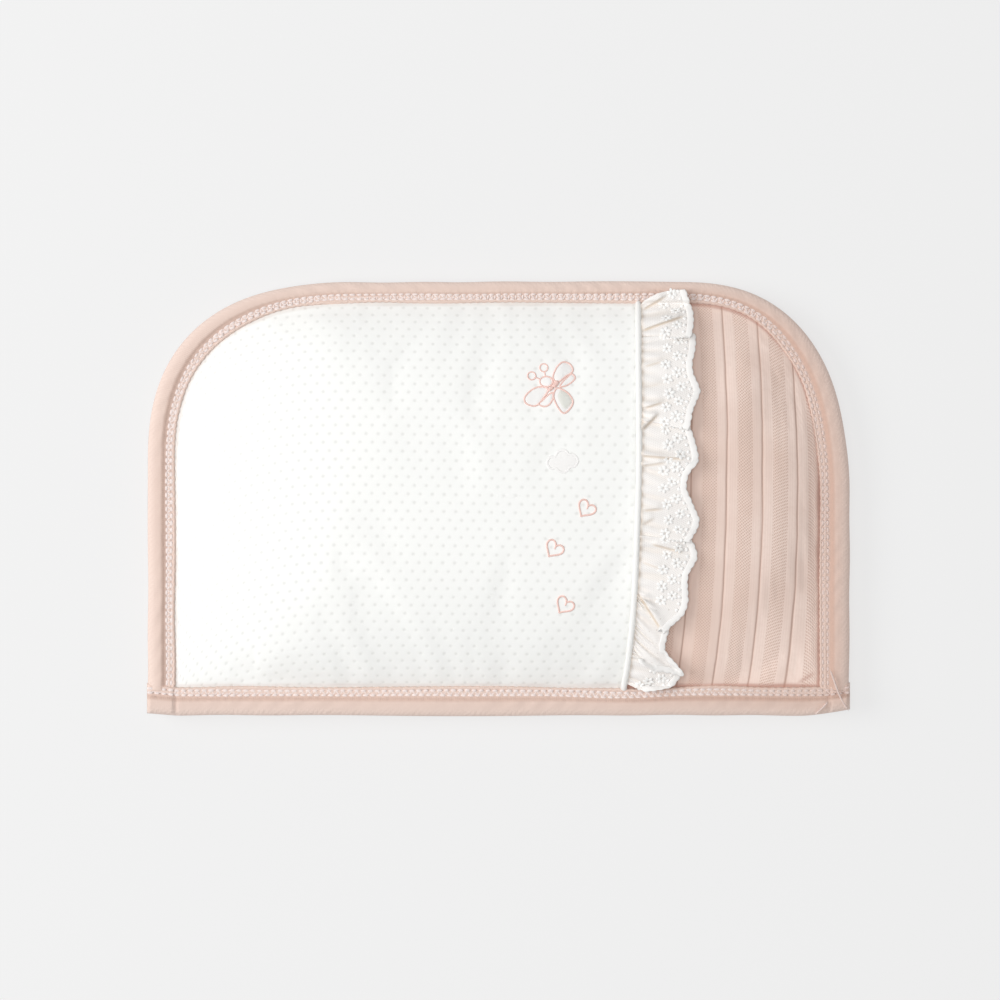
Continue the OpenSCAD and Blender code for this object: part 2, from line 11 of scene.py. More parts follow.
import bmesh
import bpy
import numpy as np
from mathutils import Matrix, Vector


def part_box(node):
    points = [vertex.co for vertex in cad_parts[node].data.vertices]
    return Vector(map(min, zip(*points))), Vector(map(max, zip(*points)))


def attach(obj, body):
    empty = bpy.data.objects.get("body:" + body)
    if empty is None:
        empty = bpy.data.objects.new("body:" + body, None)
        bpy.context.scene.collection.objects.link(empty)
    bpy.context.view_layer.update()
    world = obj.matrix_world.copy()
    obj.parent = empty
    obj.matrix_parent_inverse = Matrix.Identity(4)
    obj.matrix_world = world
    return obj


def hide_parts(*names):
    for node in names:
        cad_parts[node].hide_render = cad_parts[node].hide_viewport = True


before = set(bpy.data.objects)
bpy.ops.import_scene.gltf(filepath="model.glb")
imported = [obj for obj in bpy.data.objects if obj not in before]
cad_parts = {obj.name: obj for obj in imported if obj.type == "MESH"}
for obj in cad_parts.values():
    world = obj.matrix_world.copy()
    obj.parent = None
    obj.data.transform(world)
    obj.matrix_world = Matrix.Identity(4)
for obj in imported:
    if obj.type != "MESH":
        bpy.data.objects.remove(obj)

LOG = logging.getLogger("pillow")
MM = 0.001
BODY = "root"
Array = np.ndarray
Colour = tuple[float, float, float]


# ---------- Numbers ----------


def ease(low: float, high: float, value: Array) -> Array:
    """Returns 0 below low, 1 above high and a smooth step between them."""
    t = np.clip((value - low) / (high - low), 0.0, 1.0)
    return t * t * (3.0 - 2.0 * t)


def bell(value: Array, width: float) -> Array:
    """Returns a bell curve that is 1 at 0 and falls off over a width."""
    return np.exp(-((value / width) ** 2))


def ripple(along: Array, phase: float) -> Array:
    """Gives an uneven wave, for puckers that never quite repeat.

    Args:
        along: Distance along the cloth in millimetres.
        phase: Shift that makes one wave unlike the next.

    Returns:
        Values from about -1 to 1.
    """
    slow = np.sin(along / 7.1 + phase)
    return (np.sin(along / 1.9 + 1.3 * slow + phase) + np.sin(along / 3.3 + 2.0 * phase) + slow) / 3.0


def through(stops: Array, count: int) -> Array:
    """Runs a smooth curve through points.

    Args:
        stops: The points to pass through, one row each.
        count: Number of samples on the result.

    Returns:
        The samples, one row each, spread evenly over the stops.
    """
    ends = np.vstack([2 * stops[0] - stops[1], stops, 2 * stops[-1] - stops[-2]])
    place = np.linspace(0, len(stops) - 1, count)
    k = np.minimum(place.astype(int), len(stops) - 2)
    t = (place - k)[:, None]
    a, b, c, d = (ends[k + shift] for shift in range(4))
    return 0.5 * (2 * b + (c - a) * t + (2 * a - 5 * b + 4 * c - d) * t**2 + (3 * b - a - 3 * c + d) * t**3)


def run_lengths(points: Array) -> Array:
    """Returns the distance along a line of points, starting at 0."""
    return np.concatenate([[0.0], np.cumsum(np.linalg.norm(np.diff(points, axis=0), axis=1))])


def evenly(points: Array, step: float) -> Array:
    """Resamples a line of points.

    Args:
        points: The line, one row for each point.
        step: Distance between samples in millimetres.

    Returns:
        The samples, evenly spaced along the line.
    """
    run = run_lengths(points)
    marks = np.linspace(0, run[-1], max(3, round(run[-1] / step) + 1))
    return np.stack([np.interp(marks, run, points[:, k]) for k in range(points.shape[1])], axis=1)


# ---------- Meshes ----------


class Facing(Enum):
    """How a mesh's faces are turned."""

    AS_MADE = "as made"
    UP = "up"
    OUT = "out"


def grid_piece(
    name: str,
    points: Array,
    cloth: Array | None = None,
    ring: bool = False,
    loop: bool = False,
    facing: Facing = Facing.UP,
    caps: bool = False,
    marks: dict[str, Array] | None = None,
) -> bpy.types.Object:
    """Makes a mesh from a grid of points.

    Args:
        name: Name of the piece.
        points: Grid of places in millimetres, shaped (stations, across, 3).
        cloth: Grid of cloth coordinates in millimetres, with one more station on a loop and one more across on a ring.
        ring: Joins the last point across to the first.
        loop: Joins the last station to the first.
        facing: How the faces are turned.
        caps: Closes the first and last rings with a fan each.
        marks: Numbers at each point, kept as attributes by name.

    Returns:
        The new object, at the origin.
    """
    n, m = points.shape[:2]
    i, j = np.meshgrid(np.arange(n if loop else n - 1), np.arange(m if ring else m - 1), indexing="ij")
    corners = ((0, 0), (1, 0), (1, 1), (0, 1))
    faces = np.stack([((i + a) % n) * m + (j + b) % m for a, b in corners], axis=-1).reshape(-1, 4).tolist()
    places = points.reshape(-1, 3)
    if caps:
        places = np.vstack([places, points[0].mean(axis=0), points[-1].mean(axis=0)])
        last = (n - 1) * m
        faces += [[(k + 1) % m, k, n * m] for k in range(m)]
        faces += [[last + k, last + (k + 1) % m, n * m + 1] for k in range(m)]
    mesh = bpy.data.meshes.new(name)
    mesh.from_pydata((places * MM).tolist(), [], faces)
    if cloth is not None:
        wide = cloth.shape[1]
        spots = np.stack([(i + a) * wide + j + b for a, b in corners], axis=-1).reshape(-1)
        flat = np.zeros((len(mesh.loops), 2), dtype=np.float32)
        flat[: len(spots)] = cloth.reshape(-1, 2)[spots]
        mesh.uv_layers.new(name="cloth").data.foreach_set("uv", flat.ravel())
    for key, values in (marks or {}).items():
        whole = np.zeros(len(mesh.vertices), dtype=np.float32)
        whole[: n * m] = values.ravel()
        mesh.attributes.new(key, "FLOAT", "POINT").data.foreach_set("value", whole)
    return finish_mesh(mesh, facing)


def finish_mesh(mesh: bpy.types.Mesh, facing: Facing) -> bpy.types.Object:
    """Merges doubles, turns the faces, smooths the shading and puts the mesh in the scene.

    Args:
        mesh: The mesh to finish.
        facing: How its faces are turned.

    Returns:
        The new object.
    """
    work = bmesh.new()
    work.from_mesh(mesh)
    bmesh.ops.remove_doubles(work, verts=work.verts, dist=1e-7)
    if facing is Facing.OUT:
        bmesh.ops.recalc_face_normals(work, faces=work.faces)
    if facing is Facing.UP and sum(face.normal.z * face.calc_area() for face in work.faces) < 0:
        bmesh.ops.reverse_faces(work, faces=work.faces)
    work.to_mesh(mesh)
    work.free()
    mesh.shade_smooth()
    piece = bpy.data.objects.new(mesh.name, mesh)
    bpy.context.scene.collection.objects.link(piece)
    return piece


def points_piece(name: str, points: Array, arrows: dict[str, Array], joined: bool) -> bpy.types.Object:
    """Makes loose points or a line of points that a node tree sets shapes on.

    Args:
        name: Name of the object.
        points: Places in millimetres.
        arrows: Directions at each point, kept as attributes by name.
        joined: Joins the points into one line.

    Returns:
        The new object.
    """
    mesh = bpy.data.meshes.new(name)
    edges = [(k, k + 1) for k in range(len(points) - 1)] if joined else []
    mesh.from_pydata((points * MM).tolist(), edges, [])
    for key, values in arrows.items():
        layer = mesh.attributes.new(key, "FLOAT_VECTOR", "POINT")
        layer.data.foreach_set("vector", values.astype(np.float32).ravel())
    piece = bpy.data.objects.new(name, mesh)
    bpy.context.scene.collection.objects.link(piece)
    return piece


def merged(name: str, pieces: list[bpy.types.Object]) -> bpy.types.Object:
    """Joins several pieces into one.

    Args:
        name: Name of the result.
        pieces: The pieces to join. They are used up.

    Returns:
        The joined object.
    """
    first = pieces[0]
    with bpy.context.temp_override(
        active_object=first, object=first, selected_objects=pieces, selected_editable_objects=pieces
    ):
        bpy.ops.object.join()
    first.name = name
    first.data.name = name
    return first


def enter(piece: bpy.types.Object, nodes: tuple[str, ...]) -> None:
    """Puts a piece on the body in place of CAD nodes.

    Args:
        piece: The finished piece.
        nodes: The CAD nodes that it stands for.
    """
    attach(piece, BODY)
    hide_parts(*nodes)
    LOG.info("%s: %d faces for %s", piece.name, len(piece.data.polygons), ", ".join(nodes))


# ---------- Node trees ----------


class Value:
    """An output socket that takes part in sums."""

    def __init__(self, wiring: "Wiring", socket: bpy.types.NodeSocket) -> None:
        """Wraps a socket of a wiring's tree."""
        self.wiring = wiring
        self.socket = socket

    def math(self, operation: str, *others: "Value | float") -> "Value":
        """Returns a Math node's result on this value and others."""
        inputs = dict(enumerate((self, *others)))
        return self.wiring.node("ShaderNodeMath", {"operation": operation}, inputs)

    def __add__(self, other: "Value | float") -> "Value":
        """Returns self + other."""
        return self.math("ADD", other)

    def __sub__(self, other: "Value | float") -> "Value":
        """Returns self - other."""
        return self.math("SUBTRACT", other)

    def __rsub__(self, other: float) -> "Value":
        """Returns other - self."""
        return self.wiring.node("ShaderNodeMath", {"operation": "SUBTRACT"}, {0: other, 1: self})

    def __mul__(self, other: "Value | float") -> "Value":
        """Returns self * other."""
        return self.math("MULTIPLY", other)

    def __truediv__(self, other: "Value | float") -> "Value":
        """Returns self / other."""
        return self.math("DIVIDE", other)

    def __pow__(self, other: float) -> "Value":
        """Returns self ** other."""
        return self.math("POWER", other)

    __radd__ = __add__
    __rmul__ = __mul__

    def wave(self, length: float) -> "Value":
        """Returns a wave between 0 and 1 that repeats over a length."""
        return (self * (2 * math.pi / length)).math("SINE") * 0.5 + 0.5

    def centred(self, pitch: float, shift: float = 0.0) -> "Value":
        """Returns the signed distance to the nearest multiple of a pitch."""
        return ((self / pitch + (0.5 - shift)).math("FRACT") - 0.5) * pitch

    def step(self, low: float, high: float) -> "Value":
        """Returns a smooth step from 0 at low to 1 at high."""
        settings = {"interpolation_type": "SMOOTHSTEP"}
        return self.wiring.node("ShaderNodeMapRange", settings, {"Value": self, "From Min": low, "From Max": high})


class Wiring:
    """Adds nodes to one tree."""

    def __init__(self, tree: bpy.types.NodeTree) -> None:
        """Starts wiring a tree."""
        self.tree = tree

    def node(self, kind: str, settings: dict | None = None, inputs: dict | None = None, out: int | str = 0) -> Value:
        """Adds a node.

        Args:
            kind: The node's type.
            settings: Its settings, set before its sockets. A ramp's stops are given as stops.
            inputs: Values or links of its input sockets, by name or number.
            out: The output socket to return.

        Returns:
            The chosen output, or a value without a socket where the node has none.
        """
        made = self.tree.nodes.new(kind)
        for key, value in (settings or {}).items():
            if key == "stops":
                ramp = made.color_ramp.elements
                while len(ramp) < len(value):
                    ramp.new(0.5)
                for stop, (place, shade) in zip(ramp, value):
                    stop.position = place
                    stop.color = (*shade, 1.0)
            else:
                setattr(made, key, value)
        for key, value in (inputs or {}).items():
            if isinstance(value, Value):
                self.tree.links.new(value.socket, made.inputs[key])
            else:
                made.inputs[key].default_value = value
        return Value(self, made.outputs[out] if len(made.outputs) else None)

    def mix(self, share: Value | float, a: Value | Colour, b: Value | Colour) -> Value:
        """Returns colour a turned to colour b by a share."""
        colours = [(*c, 1.0) if isinstance(c, tuple) else c for c in (a, b)]
        inputs = {0: share, 6: colours[0], 7: colours[1]}
        return self.node("ShaderNodeMix", {"data_type": "RGBA"}, inputs, out=2)

    def cloth(self) -> tuple[Value, Value]:
        """Returns the two cloth coordinates in millimetres."""
        place = self.node("ShaderNodeUVMap", {"uv_map": "cloth"})
        parts = self.node("ShaderNodeSeparateXYZ", None, {0: place})
        return parts, Value(self, parts.socket.node.outputs[1])

    def place(self) -> Value:
        """Returns the place on the object in metres."""
        return self.node("ShaderNodeTexCoord", out="Object")

    def mark(self, name: str) -> Value:
        """Returns a number kept on the mesh's points."""
        return self.node("ShaderNodeAttribute", {"attribute_name": name}, out="Fac")

    def noise(self, scale: float, detail: float = 2.0, place: Value | None = None) -> Value:
        """Returns noise from 0 to 1 at a scale in cycles for each metre."""
        inputs = {"Vector": place or self.place(), "Scale": scale, "Detail": detail}
        return self.node("ShaderNodeTexNoise", None, inputs, out="Fac")


@dataclass(frozen=True)
class Finish:
    """A material that is the same for each piece that wears it."""

    name: str
    base: Colour
    rough: float = 0.9
    sheen: float = 0.0

    def build(self) -> bpy.types.Material:
        """Returns the material, made once."""
        found = bpy.data.materials.get(self.name)
        if found:
            return found
        made = bpy.data.materials.new(self.name)
        made.use_nodes = True
        made.node_tree.nodes.clear()
        wiring = Wiring(made.node_tree)
        colour, height, depth, extra = self.surface(wiring)
        inputs = {"Base Color": colour, "Roughness": self.rough, "Specular IOR Level": 0.25}
        if height is not None:
            bump = {"Height": height, "Distance": depth * MM, "Strength": 1.0}
            inputs["Normal"] = wiring.node("ShaderNodeBump", None, bump)
        if self.sheen:
            inputs["Sheen Weight"] = self.sheen
            inputs["Sheen Roughness"] = 0.5
        shader = wiring.node("ShaderNodeBsdfPrincipled", None, inputs | extra)
        wiring.node("ShaderNodeOutputMaterial", None, {"Surface": shader})
        return made

    def surface(self, wiring: Wiring) -> tuple[Value, Value | None, float, dict]:
        """Gives the colour and relief.

        Args:
            wiring: The material's tree.

        Returns:
            Colour, height from 0 to 1, depth of that height in millimetres, and other shader inputs.
        """
        fleck = wiring.noise(900.0)
        return wiring.mix(fleck * 0.1, self.base, tuple(c * 0.8 for c in self.base)), fleck, 0.1, {}

    def shade(self, share: float) -> Colour:
        """Returns the base colour darkened by a share, most in blue."""
        return tuple(c * (1.0 - share * s) for c, s in zip(self.base, (0.7, 1.0, 1.15)))

    def dress(self, piece: bpy.types.Object) -> None:
        """Puts the material on a piece."""
        piece.data.materials.clear()
        piece.data.materials.append(self.build())


@dataclass(frozen=True)
class DottedJersey(Finish):
    """White jersey with staggered dimples."""

    across: float = 5.5
    down: float = 3.83
    dot_r: float = 0.62

    def surface(self, wiring: Wiring) -> tuple[Value, Value | None, float, dict]:
        """Gives the dimples, the soft ridges between them and the fine knit, with painted shade in the dimples and in
        the crease by the bindings.
        """
        u, v = wiring.cloth()
        uneven = wiring.noise(260.0)
        near = None
        for shift in (0.0, 0.5):
            du = u.centred(self.across, shift)
            dv = v.centred(2 * self.down, shift)
            far = (du * du + dv * dv * 1.2) ** 0.5
            near = far if near is None else near.math("MINIMUM", far)
        dot = 1.0 - (near + (uneven - 0.5) * 0.5).step(self.dot_r * 0.2, self.dot_r * 2.0)
        hollow = 1.0 - near.step(0.2, 2.3)
        slant = (u * (1.0 / self.across) + v * (0.5 / self.down)).wave(1.0)
        knit = v.wave(0.62) * u.wave(0.48)
        height = 0.72 - dot * 0.42 - hollow * 0.2 + slant * 0.05 + knit * 0.02
        broad = wiring.noise(22.0, 3.0)
        colour = wiring.mix(broad * 0.35, self.base, self.shade(0.03))
        # Painted shade in the dimples: a little darker round each one and grey in its middle.
        colour = wiring.mix(hollow * 0.16, colour, self.shade(0.09))
        colour = wiring.mix(dot * 0.32, colour, (0.60, 0.61, 0.58))
        # Painted shade in the crease where the panel meets a binding.
        colour = wiring.mix(wiring.mark("edge") * 0.35, colour, (0.62, 0.50, 0.44))
        return colour, height, 0.16, {}


@dataclass(frozen=True)
class RibbedJersey(Finish):
    """Dusty pink jersey with drawn grooves and bands of eyelets between them."""

    pitch: float = 16.2
    first: float = 87.3
    band_centre: float = 8.5
    band_half: float = 3.5
    eyelet: float = 1.42

    def surface(self, wiring: Wiring) -> tuple[Value, Value | None, float, dict]:
        """Gives the grooves, the eyelet bands and the fine knit, with painted shade in the grooves, the eyelet pits and
        the crease by the bindings, and a painted shadow of the frill.
        """
        u, v = wiring.cloth()
        wander = (wiring.noise(45.0) - 0.5) * 1.1
        from_groove = (u - self.first + wander).centred(self.pitch).math("ABSOLUTE")
        groove = 1.0 - from_groove.step(0.05, 0.62)
        valley = 1.0 - from_groove.step(0.2, 1.8)
        from_band = (u - (self.first + self.band_centre)).centred(self.pitch).math("ABSOLUTE")
        uneven = wiring.noise(190.0)
        band = 1.0 - (from_band + (uneven - 0.5) * 0.8).step(self.band_half - 0.5, self.band_half + 0.3)
        one = (u + v).centred(self.eyelet).math("ABSOLUTE")
        two = (u - v).centred(self.eyelet).math("ABSOLUTE")
        ridge = one.math("MINIMUM", two)
        pit = ridge.step(0.15, 0.5) * band
        knit = u.wave(1.1) * 0.7 + v.wave(0.6) * 0.3
        fibre = wiring.noise(620.0, 4.0)
        height = 0.7 - groove * 0.16 - pit * 0.33 + knit * (1.0 - band) * 0.08 + fibre * 0.16
        broad = wiring.noise(30.0, 3.0)
        # Painted shadow of the lace frill: darker beside it, fading out from 88 to 104 mm across.
        lace_shadow = 1.0 - wiring.node("ShaderNodeSeparateXYZ", None, {0: wiring.place()}).step(0.088, 0.104)
        colour = wiring.mix(broad.step(0.38, 0.66) * 0.8, self.base, self.shade(0.15))
        colour = wiring.mix(lace_shadow * 0.75, colour, self.shade(0.2))
        colour = wiring.mix(knit * (1.0 - band) * 0.45, colour, self.shade(0.1))
        colour = wiring.mix(fibre.step(0.45, 0.7) * 0.4, colour, self.shade(0.12))
        # Painted shade in the grooves: a little darker round each one and dark brown in its middle.
        colour = wiring.mix(valley * 0.3, colour, self.shade(0.14))
        colour = wiring.mix(groove * 0.72, colour, (0.46, 0.28, 0.22))
        # Painted shade in the eyelet pits of the bands.
        colour = wiring.mix(pit * 0.9, colour, self.shade(0.4))
        # Painted shade in the crease where the panel meets a binding.
        colour = wiring.mix(wiring.mark("edge") * 0.75, colour, (0.52, 0.27, 0.21))
        return colour, height, 0.22, {}


@dataclass(frozen=True)
class BindingJersey(Finish):
    """Dusty pink jersey rolled over the edges, with painted shade in the furrow beside its stitches and down its right
    side, and a painted highlight on its outer roll.
    """

    furrow: float = 5.3

    def surface(self, wiring: Wiring) -> tuple[Value, Value | None, float, dict]:
        """Gives the fine knit, the uneven dye and the furrow, with painted shade in the furrow, in the crinkles and
        towards the right side, a painted highlight on the outer roll, and a lighter lip.
        """
        u, v = wiring.cloth()
        knit = (u + v * 0.12).wave(0.85) * 0.6 + v.wave(0.7) * 0.4
        uneven = wiring.noise(420.0, 4.0)
        broad = wiring.noise(18.0, 3.0)
        from_lip = v.math("MINIMUM", 26.0 - v)
        furrow = 1.0 - (from_lip - self.furrow).math("ABSOLUTE").step(0.4, 2.1)
        lip = 1.0 - from_lip.step(3.6, 5.2)
        # Painted shade towards the right side, away from the light, growing from about 20 to 150 mm across.
        far = wiring.node("ShaderNodeSeparateXYZ", None, {0: wiring.place()}).step(0.02, 0.15)
        colour = wiring.mix(broad.step(0.3, 0.75) * 0.5, self.base, self.shade(0.06))
        colour = wiring.mix(far * 0.7, colour, self.shade(0.17))
        colour = wiring.mix(uneven.step(0.4, 0.7) * 0.22, colour, self.shade(-0.05))
        colour = wiring.mix(knit * 0.14, colour, self.shade(0.12))
        # Painted highlight on the outer roll.
        outer = 1.0 - (v - 13.0).math("ABSOLUTE").step(0.5, 5.5)
        colour = wiring.mix(outer * 0.6, colour, self.shade(-0.16))
        # Painted shade in the furrow beside the stitches, heavier on the right.
        colour = wiring.mix(furrow * (far * 0.25 + 0.6), colour, self.shade(0.32))
        colour = wiring.mix(lip * 0.25, colour, self.shade(-0.06))
        crinkle = ((u + v) + (wiring.noise(150.0) - 0.5) * 5.0).wave(2.3)
        # Painted shade in the crinkles of the outer roll.
        colour = wiring.mix(crinkle * outer * 0.2, colour, self.shade(0.1))
        wrinkle = wiring.noise(140.0, 3.0)
        return colour, knit * 0.12 + uneven * 0.2 + wrinkle * 0.5 + crinkle * outer * 0.18, 0.45, {}


@dataclass(frozen=True)
class WhiteCloth(Finish):
    """Plain fine cloth with a slight twill, as on the piping."""

    def surface(self, wiring: Wiring) -> tuple[Value, Value | None, float, dict]:
        """Gives the twill."""
        u, v = wiring.cloth()
        twill = (u + v).wave(0.5)
        broad = wiring.noise(60.0, 3.0)
        colour = wiring.mix(twill * 0.12 + broad * 0.2, self.base, self.shade(0.08))
        return colour, twill * 0.5 + broad * 0.5, 0.1, {}


@dataclass(frozen=True)
class LaceNet(Finish):
    """Fine six-sided net, a little sheer, with painted shade in its folds and in its flowers' eyelets."""

    cell: float = 0.95
    flower_pitch: float = 8.0
    eyelets: tuple[tuple[float, float], ...] = ((1.6, 17.6), (5.6, 12.4))

    def surface(self, wiring: Wiring) -> tuple[Value, Value | None, float, dict]:
        """Gives the net's threads, its see-through cells and the shade in its folds."""
        u, v = wiring.cloth()
        near = None
        for shift in (0.0, 0.5):
            du = u.centred(self.cell, shift)
            dv = v.centred(self.cell * 1.732, shift)
            far = (du * du + dv * dv) ** 0.5
            near = far if near is None else near.math("MINIMUM", far)
        thread = near.step(self.cell * 0.2, self.cell * 0.42)
        fold = wiring.mark("fold")
        weft = wiring.noise(700.0)
        eyelet = None
        for start, across in self.eyelets:
            du = (u - start).centred(self.flower_pitch)
            dv = v - across
            far = (du * du + dv * dv) ** 0.5
            eyelet = far if eyelet is None else eyelet.math("MINIMUM", far)
        eyelet_shade = 1.0 - eyelet.step(0.3, 0.62)
        colour = wiring.mix(weft * 0.2, self.base, self.shade(0.06))
        colour = wiring.mix((1.0 - thread) * 0.12, colour, (0.85, 0.76, 0.70))
        # Painted shade in the folds, creases and gathers, from the fold mark.
        colour = wiring.mix(fold.math("MINIMUM", 1.0) * 0.85, colour, (0.66, 0.53, 0.40))
        # Painted shade in the flowers' eyelets: an opaque dark disc.
        colour = wiring.mix(eyelet_shade * 0.45, colour, (0.45, 0.38, 0.33))
        alpha = (thread * 0.1 + 0.86 + fold * 0.2 + eyelet_shade).math("MINIMUM", 1.0)
        return colour, thread * 0.4 + weft * 0.6, 0.05, {"Alpha": alpha}


@dataclass(frozen=True)
class Satin(Finish):
    """Close parallel threads laid across an outline or a patch."""

    thread: float = 0.36

    def surface(self, wiring: Wiring) -> tuple[Value, Value | None, float, dict]:
        """Gives the threads side by side and their slight unevenness."""
        u, v = wiring.cloth()
        uneven = wiring.noise(500.0)
        strand = (u + v * 0.25 + uneven * 0.15).wave(self.thread)
        colour = wiring.mix((1.0 - strand) * 0.5, self.base, self.shade(0.16))
        colour = wiring.mix(uneven * 0.2, colour, self.shade(0.08))
        return colour, strand, 0.025, {}


@dataclass(frozen=True)
class Thread(Finish):
    """Twisted sewing thread."""

    def surface(self, wiring: Wiring) -> tuple[Value, Value | None, float, dict]:
        """Gives the twist and the fuzz, with painted shade towards the right side."""
        parts = wiring.node("ShaderNodeSeparateXYZ", None, {0: wiring.place()})
        other = Value(wiring, parts.socket.node.outputs[1])
        twist = ((parts + other) * 1000.0).wave(0.55)
        fuzz = wiring.noise(1200.0)
        colour = wiring.mix(twist * 0.25 + fuzz * 0.2, self.base, self.shade(0.14))
        # Painted shade towards the right side, away from the light, from about 80 to 150 mm across.
        colour = wiring.mix(parts.step(0.08, 0.15) * 0.85, colour, self.shade(0.27))
        return colour, twist * 0.6 + fuzz * 0.4, 0.04, {}


@dataclass(frozen=True)
class Backdrop(Finish):
    """Pale matt floor that glows a little, so that shadows on it stay faint."""

    glow: float = 0.5

    def surface(self, wiring: Wiring) -> tuple[Value, Value | None, float, dict]:
        """Gives the floor's even colour and glow."""
        fleck = wiring.noise(3.0)
        colour = wiring.mix(fleck * 0.02, self.base, self.shade(0.1))
        glow = {"Emission Color": (0.877, 0.877, 0.877, 1.0), "Emission Strength": self.glow}
        return colour, None, 0.0, glow


WADDING = Finish("wadding fibre", (0.86, 0.86, 0.84))
DOTTED = DottedJersey("white dotted jersey", (0.965, 0.97, 0.95), sheen=0.1)
RIBBED = RibbedJersey("dusty pink ribbed jersey", (0.985, 0.80, 0.715), sheen=0.1)
BINDING = BindingJersey("dusty pink binding jersey", (0.785, 0.615, 0.54), sheen=0.1)
PIPING = WhiteCloth("white piping cloth", (0.975, 0.975, 0.955))
CORD = Thread("white cord", (0.90, 0.90, 0.88))
NET = LaceNet("cream lace net", (0.99, 0.965, 0.94), rough=0.8)
LACE_SATIN = Satin("white lace satin", (0.995, 0.99, 0.975), rough=0.55)
SEAM_THREAD = Thread("pale seam thread", (0.89, 0.785, 0.755), rough=0.7)
WHITE_SATIN = Satin("white satin", (0.97, 0.97, 0.96), rough=0.5)
GREY_SATIN = Satin("pale grey satin", (0.83, 0.84, 0.79), rough=0.5)
SALMON_SATIN = Satin("salmon satin", (0.93, 0.66, 0.60), rough=0.5)


# ---------- Shapes set by node trees ----------


class SetShape(Enum):
    """The small shapes that node trees set along a line or on points."""

    STITCH = "stitch"
    BLOB = "blob"
    FLOWER = "flower"


@dataclass(frozen=True)
class ShapeSetter:
    """A node tree that sets one small shape over and over, and ends as a plain mesh."""

    shape: SetShape
    size: tuple[float, float, float]
    pitch: float = 0.0
    seed: int = 3

    def tree(self, finish: Finish) -> tuple[bpy.types.NodeTree, dict[str, str]]:
        """Builds the tree.

        Args:
            finish: The finish that the shapes wear.

        Returns:
            The tree, and the identifier of each named input.
        """
        tree = bpy.data.node_groups.new(f"set {self.shape.value}", "GeometryNodeTree")
        tree.interface.new_socket("Geometry", in_out="OUTPUT", socket_type="NodeSocketGeometry")
        tree.interface.new_socket("Geometry", in_out="INPUT", socket_type="NodeSocketGeometry")
        names = {}
        for label, kind in (("Pitch", "NodeSocketFloat"), ("Size", "NodeSocketVector"), ("Seed", "NodeSocketInt")):
            names[label] = tree.interface.new_socket(label, in_out="INPUT", socket_type=kind).identifier
        wiring = Wiring(tree)
        start = wiring.node("NodeGroupInput").socket.node
        given = {socket.name: Value(wiring, socket) for socket in start.outputs if socket.name}
        points = given["Geometry"]
        if self.pitch:
            line = wiring.node("GeometryNodeMeshToCurve", None, {0: points})
            inputs = {"Curve": line, "Length": given["Pitch"]}
            points = wiring.node("GeometryNodeResampleCurve", {"mode": "LENGTH"}, inputs)
        turn = None
        for arrow, axis, pivot in (("up", "Z", "AUTO"), ("along", "X", "Z")):
            reading = wiring.node(
                "GeometryNodeInputNamedAttribute", {"data_type": "FLOAT_VECTOR"}, {"Name": arrow}
            )
            inputs = {"Vector": reading} | ({"Rotation": turn} if turn else {})
            turn = wiring.node("FunctionNodeAlignRotationToVector", {"axis": axis, "pivot_axis": pivot}, inputs)
        uneven = wiring.node(
            "FunctionNodeRandomValue",
            {"data_type": "FLOAT_VECTOR"},
            {0: (0.88, 0.88, 0.88), 1: (1.12, 1.12, 1.12), "Seed": given["Seed"]},
        )
        inputs = {"Points": points, "Instance": self.unit(wiring, given["Size"]), "Rotation": turn, "Scale": uneven}
        placed = wiring.node("GeometryNodeInstanceOnPoints", None, inputs)
        real = wiring.node("GeometryNodeRealizeInstances", None, {0: placed})
        smooth = wiring.node("GeometryNodeSetShadeSmooth", None, {"Geometry": real})
        dressed = wiring.node(
            "GeometryNodeSetMaterial", None, {"Geometry": smooth, "Material": finish.build()}
        )
        wiring.node("NodeGroupOutput", None, {0: dressed})
        return tree, names

    def unit(self, wiring: Wiring, size: Value) -> Value:
        """Makes the small shape that is repeated.

        Args:
            wiring: The tree being wired.
            size: Length, width and thickness of the shape in metres.

        Returns:
            The shape's geometry.
        """
        flat = self.shape is SetShape.BLOB
        ball = wiring.node("GeometryNodeMeshUVSphere", None, {"Segments": 6, "Rings": 4 if flat else 5, "Radius": 0.5})
        if self.shape is not SetShape.FLOWER:
            return wiring.node("GeometryNodeTransform", None, {"Geometry": ball, "Scale": size})
        third = wiring.node("ShaderNodeVectorMath", {"operation": "MULTIPLY"}, {0: size, 1: (0.46, 0.31, 1.0)})
        petal = wiring.node("GeometryNodeTransform", None, {"Geometry": ball, "Scale": third})
        reach = wiring.node("ShaderNodeSeparateXYZ", None, {0: size}) * 0.29
        wheel = wiring.node("GeometryNodeMeshCircle", None, {"Vertices": 6, "Radius": reach})
        out = wiring.node("GeometryNodeInputPosition")
        spoke = wiring.node("FunctionNodeAlignRotationToVector", {"axis": "X", "pivot_axis": "Z"}, {"Vector": out})
        inputs = {"Points": wheel, "Instance": petal, "Rotation": spoke}
        petals = wiring.node("GeometryNodeInstanceOnPoints", None, inputs)
        return wiring.node("GeometryNodeRealizeInstances", None, {0: petals})

    def run(self, name: str, places: bpy.types.Object, finish: Finish) -> bpy.types.Object:
        """Sets the shapes and turns the result into a plain mesh.

        Args:
            name: Name of the result.
            places: Line or points to set the shapes on. It is used up.
            finish: The finish that the shapes wear.

        Returns:
            The new object.
        """
        tree, names = self.tree(finish)
        modifier = places.modifiers.new("set", "NODES")
        modifier.node_group = tree
        modifier[names["Pitch"]] = self.pitch * MM
        modifier[names["Size"]] = [s * MM for s in self.size]
        modifier[names["Seed"]] = self.seed
        bpy.context.view_layer.update()
        ready = places.evaluated_get(bpy.context.evaluated_depsgraph_get())
        mesh = bpy.data.meshes.new_from_object(ready)
        mesh.name = name
        places.modifiers.remove(modifier)
        bpy.data.objects.remove(places)
        piece = bpy.data.objects.new(name, mesh)
        bpy.context.scene.collection.objects.link(piece)
        return piece


# ---------- The pillow's form ----------


